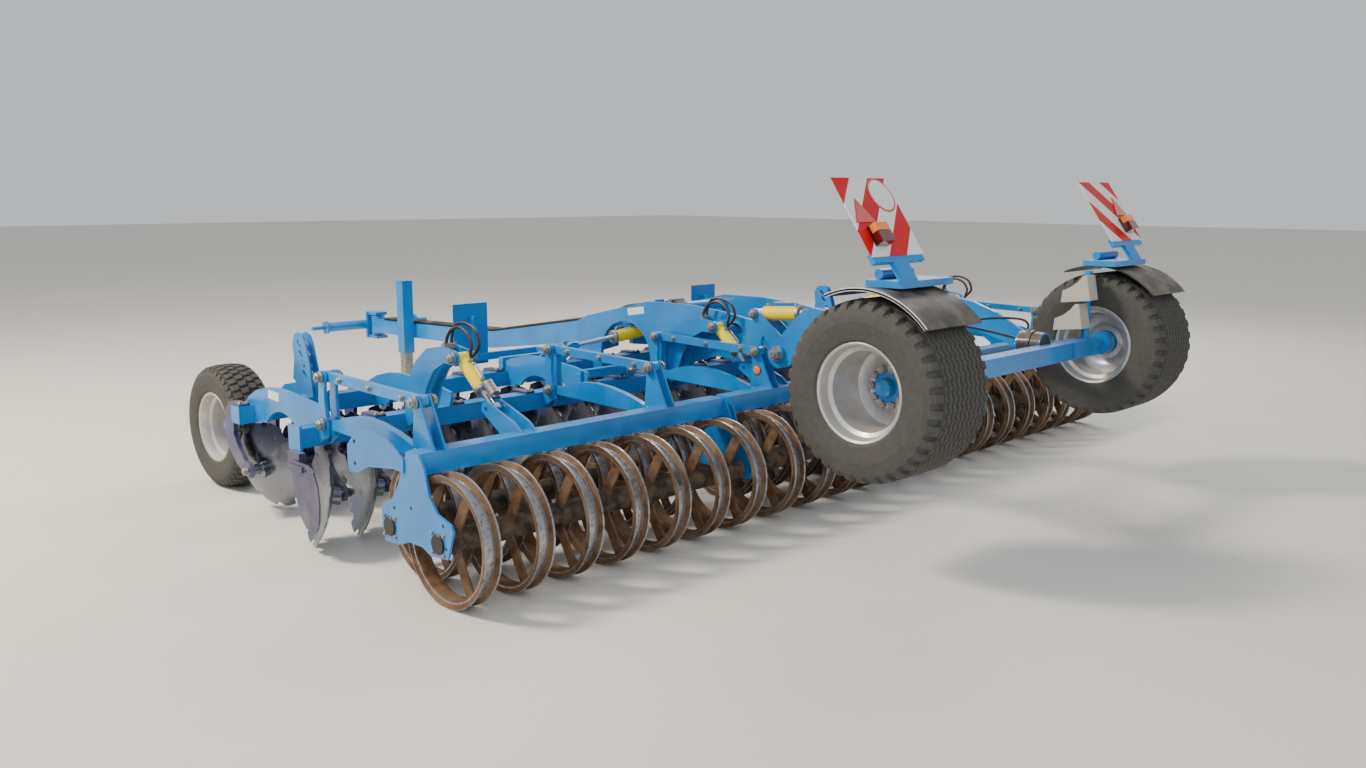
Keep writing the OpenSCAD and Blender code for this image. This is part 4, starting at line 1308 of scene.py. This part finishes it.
@dataclass
class AxleBrakes:
    """Shells, studs and air hoses of the two brake chambers on the transport axle."""

    x: float = 0.450
    start: float = -3.140
    height: float = 0.945
    radius: float = 0.0775
    rail_y: float = -2.420
    rail_top: float = 1.040
    hose: float = 0.0075
    stud: float = 0.014
    upper_port: Stub = (0.0115, 0.016, 6, 0.001)
    rear_port: Stub = (0.0115, 0.018, 6, 0.001)
    tee_port: Stub = (0.0105, 0.018, 6, 0.001)

    def build(self) -> None:
        """Builds both chambers' shells with their clamp bands, the hoses, and the tee on the rail."""
        hoses, steel, r = Bundle(), Bundle(), self.radius
        shell = [(-0.003, 0.002), (-0.003, r - 0.018), (0.004, r - 0.001), (0.058, r), (0.063, r + 0.008)]
        shell += [(0.081, r + 0.008), (0.086, r), (0.140, r), (0.152, r - 0.016), (0.154, 0.002)]
        tee = self.rail_top + 0.026
        over = [(self.x, -3.030, 1.032), (self.x, -3.027, 1.065), (0.435, -2.985, 1.090)]
        over += [(0.380, -2.860, 1.090), (0.280, -2.680, 1.070), (0.170, -2.530, 1.078)]
        over += [(0.115, -2.455, 1.098), (0.088, -2.424, 1.090)]
        under = [(self.x, -2.975, 0.975), (self.x, -2.930, 0.978), (0.425, -2.850, 0.995)]
        under += [(0.330, -2.700, 1.030), (0.200, -2.560, 1.060)]
        under += [(0.090, -2.460, 1.096), (0.047, -2.424, 1.090)]
        routes = (over + [(0.085, self.rail_y, tee)], under + [(0.045, self.rail_y, tee)])
        for side, word in SIDES:
            x, y, z = side * self.x, self.start, self.height
            mesh = turned(shell, 64, (0.0, 0.0, 0.0))
            mesh.transform(Matrix.Translation((x, y, z)) @ Matrix.Rotation(math.pi / 2, 4, "Z"))
            new_piece(f"brake_chamber_{word}", mesh, CHAMBER, "axle", 30)
            for out in (-0.040, 0.040):
                steel.bolt((x + out, y + 0.1535, z), (0, 1, 0), self.stud)
            steel.prism((x, y + 0.110, z + r - 0.003), UP, *self.upper_port)
            steel.prism((x, y + 0.149, z + 0.030), (0, 1, 0), *self.rear_port)
            for route in routes:
                hoses.tube(eased([(side * x, y, z) for x, y, z in route]), self.hose)
                steel.prism((side * route[-1][0], self.rail_y, tee - 0.004), UP, *self.tee_port)
        body = cut_corners((self.rail_y - 0.017, self.rail_top - 0.002), (self.rail_y + 0.017, tee), 0.003)
        steel.slab(body, -0.110, 0.110)
        new_piece("brake_hoses", hoses.mesh(), HOSE, "axle", 60)
        new_piece("brake_fittings", steel.mesh(), PLATED, "axle", 30)


@dataclass
class DiscArms:
    """Clamp bolts and axle nuts of the disc arms."""

    first: float = 2.938
    pitch: float = 0.250
    beams: Pair = BEAMS
    top: float = 0.647
    hub_drop: float = 0.080
    hub_z: float = 0.272
    clamp_bolt: float = 0.012
    axle_nut: float = 0.022

    def build(self) -> None:
        """Builds the bolts of each section's sixteen arms."""
        for number, section in enumerate(SECTIONS):
            bundle = Bundle()
            for rear, beam in enumerate(self.beams):
                # The front row is counted from the left, and the rear row from the right
                way = 1 if rear else -1
                row = 2 - number if rear else number
                for i in range(8):
                    x = way * (self.first - (row * 8 + i) * self.pitch)
                    for side in (-0.020, 0.020):
                        bundle.bolt((x + side, beam - 0.032, self.top), UP, self.clamp_bolt)
                        bundle.bolt((x + side, beam + 0.068, self.top - 0.060), (0, 1, 0), self.clamp_bolt)
                    hub = (x + way * 0.028, beam - self.hub_drop, self.hub_z)
                    bundle.bolt(hub, (way, 0, 0), self.axle_nut)
            new_piece(f"arm_bolts_{section.base}", bundle.mesh(), PLATED, section.base, 20)


@dataclass
class BoardTrim:
    """Reflectors and the blank speed disc on the rear boards."""

    triangle: float = 0.150
    triangle_at: Pair = (0.120, 0.010)
    disc: float = 0.094
    disc_at: Pair = (-0.110, 0.115)
    rim: float = 0.012
    half_plate: float = 0.002

    def place(self, side: int, at: Pair, out: float) -> Matrix:
        """Where something stands on a rear board.

        Args:
            side: -1 for the left board, 1 for the right one.
            at: Distance outwards from the board's middle, and up the board.
            out: Distance off the board's face.

        Returns:
            A matrix whose Z runs out of the board's face, and whose Y runs up the board.
        """
        turn = Matrix.Rotation(-BOARD_LEAN, 4, "X") @ Matrix.Rotation(math.pi / 2, 4, "X")
        middle = Matrix.Translation((side * BOARD_MIDDLE[0], BOARD_MIDDLE[1], BOARD_MIDDLE[2]))
        return middle @ turn @ Matrix.Translation((side * at[0], at[1], self.half_plate + out))

    def plate(self, outline: Sequence[Pair], thick: float, where: Matrix) -> bpy.types.Mesh:
        """Makes a plate with a narrow bevel on its outer rim.

        Args:
            outline: The plate's corners, in order.
            thick: Its thickness.
            where: Where it is put.

        Returns:
            The plate's mesh.
        """
        edit = bmesh.new()
        face = edit.faces.new([edit.verts.new((x, y, 0)) for x, y in outline])
        lifted = bmesh.ops.extrude_face_region(edit, geom=[face])["geom"]
        top = [part for part in lifted if isinstance(part, bmesh.types.BMVert)]
        bmesh.ops.translate(edit, vec=(0, 0, thick), verts=top)
        rim = [e for e in edit.edges if all(v.co.z > thick / 2 for v in e.verts)]
        bmesh.ops.bevel(edit, geom=rim, offset=thick * 0.3, segments=2, affect="EDGES")
        edit.transform(where)
        return Bundle(edit).mesh()

    def build(self) -> None:
        """Builds a triangle on each board and the blank disc on the left one."""
        a = self.triangle / 2
        corners = [(-a, -a * 0.58), (a, -a * 0.58), (0, a * 1.15)]
        for side, word in SIDES:
            mesh = self.plate(corners, 0.006, self.place(side, self.triangle_at, 0.0004))
            new_piece(f"triangle_{word}", mesh, RED_LENS, "axle", 0)
        rim = self.plate(circle(self.disc, 64), 0.0016, self.place(-1, self.disc_at, 0.0004))
        new_piece("speed_disc_rim", rim, RED_LENS, "axle", 30)
        face = self.plate(circle(self.disc - self.rim, 64), 0.0012, self.place(-1, self.disc_at, 0.0021))
        new_piece("speed_disc_face", face, LABEL, "axle", 30)


@dataclass
class GuardTrim:
    """Light edge strip along the outer rim of a wheel guard."""

    side: int
    word: str
    radius: float = 0.479
    outer: float = 1.445
    axle: Pair = WHEEL_AXLE
    start: float = 65.5
    end: float = 137.5
    steps: int = 48

    def build(self) -> None:
        """Builds the strip as one bent bar with a rounded section."""
        section = [(0.0, -0.007), (0.0, 0.007), (0.004, 0.009)]
        section += [(0.008, 0.007), (0.008, -0.007), (0.004, -0.009)]
        rings = []
        for i in range(self.steps + 1):
            a = math.radians(self.start + (self.end - self.start) * i / self.steps)
            c, s = math.cos(a), math.sin(a)
            spots = [(self.side * (self.outer - x), self.radius + r) for x, r in section]
            rings.append([(x, self.axle[0] + r * c, self.axle[1] + r * s) for x, r in spots])
        strip = Bundle()
        strip.skin(rings)
        new_piece(f"guard_trim_{self.word}", strip.mesh(), TRIM, "axle", 40)


@dataclass
class FrameDress:
    """Pins of the hinges, of the lift and fold cylinders and of the axle, and blank films on the arches."""

    hinge_x: float = 0.750
    hinge_z: float = 0.695
    axle_pin: Point = (0.668, -2.060, 0.900)
    beams: Pair = BEAMS
    film_half: float = 0.024
    film_thick: float = 0.0006

    def build(self) -> None:
        """Builds the bolts and the films."""
        pins = Bundle()
        for way in (-1, 1):
            for y in self.beams:
                for out in (-1, 1):
                    pins.bolt((way * self.hinge_x, y + out * 0.052, self.hinge_z), (0, out, 0), 0.030)
            for out in (-1, 1):
                x, y, z = FOLD_PIN
                pins.bolt((way * x, y + out * 0.068, z), (0, out, 0), 0.026)
                x, y, z = LIFT_PIN
                pins.bolt((way * x + out * 0.066, y, z), (out, 0, 0), 0.026)
            x, y, z = self.axle_pin
            pins.bolt((way * x, y, z), (way, 0, 0), 0.040)
        new_piece("frame_pins", pins.mesh(), PLATED, "frame", 20)
        middle = Bundle()
        for side, word in SIDES:
            film = Bundle()
            self.film(film, side * 2.885, side, (-0.42, 0.715), (-0.300, 0.722))
            new_piece(f"blank_film_{word}", film.mesh(), LABEL, f"wing_{word}", 0)
            self.film(middle, side * 0.3875, side, (-0.66, 1.030), (-0.50, 1.005))
        new_piece("blank_film_middle", middle.mesh(), LABEL, "frame", 0)

    def film(self, bundle: Bundle, x: float, side: int, a: Pair, b: Pair) -> None:
        """Adds a blank film with cut corners on a plate's outer face.

        Args:
            bundle: The films that it joins.
            x: Where the plate's face lies.
            side: -1 where the face looks left, 1 where it looks right.
            a: One end of its middle line, as (Y, Z).
            b: The other end.
        """
        run = Vector((0, b[0] - a[0], b[1] - a[1]))
        up = Vector((1, 0, 0)).cross(run).normalized() * self.film_half
        out = Vector((side * self.film_thick, 0, 0))
        start, end, cut = Vector((x, *a)), Vector((x, *b)), run.normalized() * 0.006
        outline = [start - up + cut, end - up - cut, end - up * 0.8, end + up * 0.8]
        outline += [end + up - cut, start + up + cut, start + up * 0.8, start - up * 0.8]
        bundle.skin([outline, [corner + out for corner in outline]])


@dataclass
class CadFinishes:
    """Which finish each CAD node gets, by how its name begins. What isn't listed is blue."""

    finishes: tuple[tuple[str, Finish], ...] = (
        ("roller_front", FRONT_ROLLER),
        ("roller_rear", REAR_ROLLER),
        ("arms_", NAVY),
        ("discs_", DISC_STEEL),
        ("depth_barrel", YELLOW),
        ("fold_barrel", YELLOW),
        ("axle_barrels", YELLOW),
        ("depth_rod", CHROME),
        ("fold_rod", CHROME),
        ("axle_rods", CHROME),
        ("parking_leg", ZINC),
        ("wheel_chocks", CHOCK),
        ("mudguards", GUARD),
        ("rear_boards", BOARD),
        ("lamps", LAMP),
        ("hoses", HOSE),
        ("wheel_", TYRE),
        ("depth_wheel", TYRE),
    )

    def dress(self, nodes: dict[str, bpy.types.Object]) -> None:
        """Gives every CAD node its finish.

        Args:
            nodes: The CAD nodes by name.
        """
        for name, piece in nodes.items():
            found = [finish for prefix, finish in self.finishes if name.startswith(prefix)]
            made = (found or [BLUE])[0].material()
            piece.data.materials.clear()
            piece.data.materials.append(made)
            log.info("%s: %s", name, made.name)


@dataclass(frozen=True)
class SoftLight:
    """One square soft light that looks at the harrow's middle."""

    name: str
    at: Point
    size: float
    power: float
    colour: Paint
    target: Point = (0.0, -0.8, 0.5)

    def build(self) -> None:
        """Adds the light to the scene."""
        data = bpy.data.lights.new(self.name, "AREA")
        data.size = self.size
        data.energy = self.power
        data.color = self.colour.light[:3]
        lamp = bpy.data.objects.new(self.name, data)
        bpy.context.scene.collection.objects.link(lamp)
        way = Vector(self.target) - Vector(self.at)
        lamp.rotation_euler = way.to_track_quat("-Z", "Y").to_euler()
        lamp.location = self.at


@dataclass
class Studio:
    """Camera, lights and floor."""

    eye: Point = (-5.6555, -6.1829, 1.8130)
    heading: float = 45.646
    tilt: float = -9.600
    roll: float = 0.165
    lens: float = 29.815
    sky_strength: float = 0.72
    floor_half: float = 60.0
    lights: tuple[SoftLight, ...] = (
        SoftLight("key", (-7.5, 3.5, 8.5), 2.2, 1600.0, Paint.WARM_LIGHT),
        SoftLight("fill", (-8.0, -9.0, 5.0), 6.0, 330.0, Paint.COOL_LIGHT),
        SoftLight("rim", (8.0, 2.0, 7.0), 5.0, 500.0, Paint.WHITE_LIGHT),
    )

    def build(self) -> None:
        """Builds the camera at the photograph's angle, three soft lights, a pale sky and the floor."""
        self.camera()
        for light in self.lights:
            light.build()
        world = bpy.data.worlds.new("pale_sky")
        bpy.context.scene.world = world
        world.use_nodes = True
        sky = world.node_tree.nodes["Background"]
        sky.inputs["Color"].default_value = Paint.SKY.light
        sky.inputs["Strength"].default_value = self.sky_strength
        mesh = bpy.data.meshes.new("floor")
        h = self.floor_half
        mesh.from_pydata([(-h, -h, 0), (h, -h, 0), (h, h, 0), (-h, h, 0)], [], [(0, 1, 2, 3)])
        mesh.materials.append(PalePlaster("pale_studio_floor").material())
        floor = bpy.data.objects.new("studio_floor", mesh)
        bpy.context.scene.collection.objects.link(floor)

    def camera(self) -> None:
        """Makes the camera and puts it in charge."""
        data = bpy.data.cameras.new("camera")
        data.sensor_width = 36.0
        data.sensor_fit = "HORIZONTAL"
        data.lens = self.lens
        data.clip_end = 300.0
        camera = bpy.data.objects.new("camera", data)
        bpy.context.scene.collection.objects.link(camera)
        heading = Matrix.Rotation(math.radians(-self.heading), 4, "Z")
        tilt = Matrix.Rotation(math.radians(90 + self.tilt), 4, "X")
        roll = Matrix.Rotation(math.radians(self.roll), 4, "Z")
        camera.matrix_world = Matrix.Translation(self.eye) @ heading @ tilt @ roll
        bpy.context.scene.camera = camera


def main() -> None:
    """Builds the harrow's looks in order."""
    logging.basicConfig(level=logging.INFO, format="%(name)s %(message)s")
    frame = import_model()
    Studio().build()
    CadFinishes().dress(frame["nodes"])
    for side, word in SIDES:
        for part in (Wheel(side, word), DepthWheel(side, word), GuardTrim(side, word)):
            part.build()
    groups = (Linkage(), RollerEnds(), Cylinders(), SpineHoses(), SideReflectors(), AxleBrakes(), DiscArms())
    for group in (*groups, BoardTrim(), FrameDress()):
        group.build()


if __name__ == "__main__":
    main()
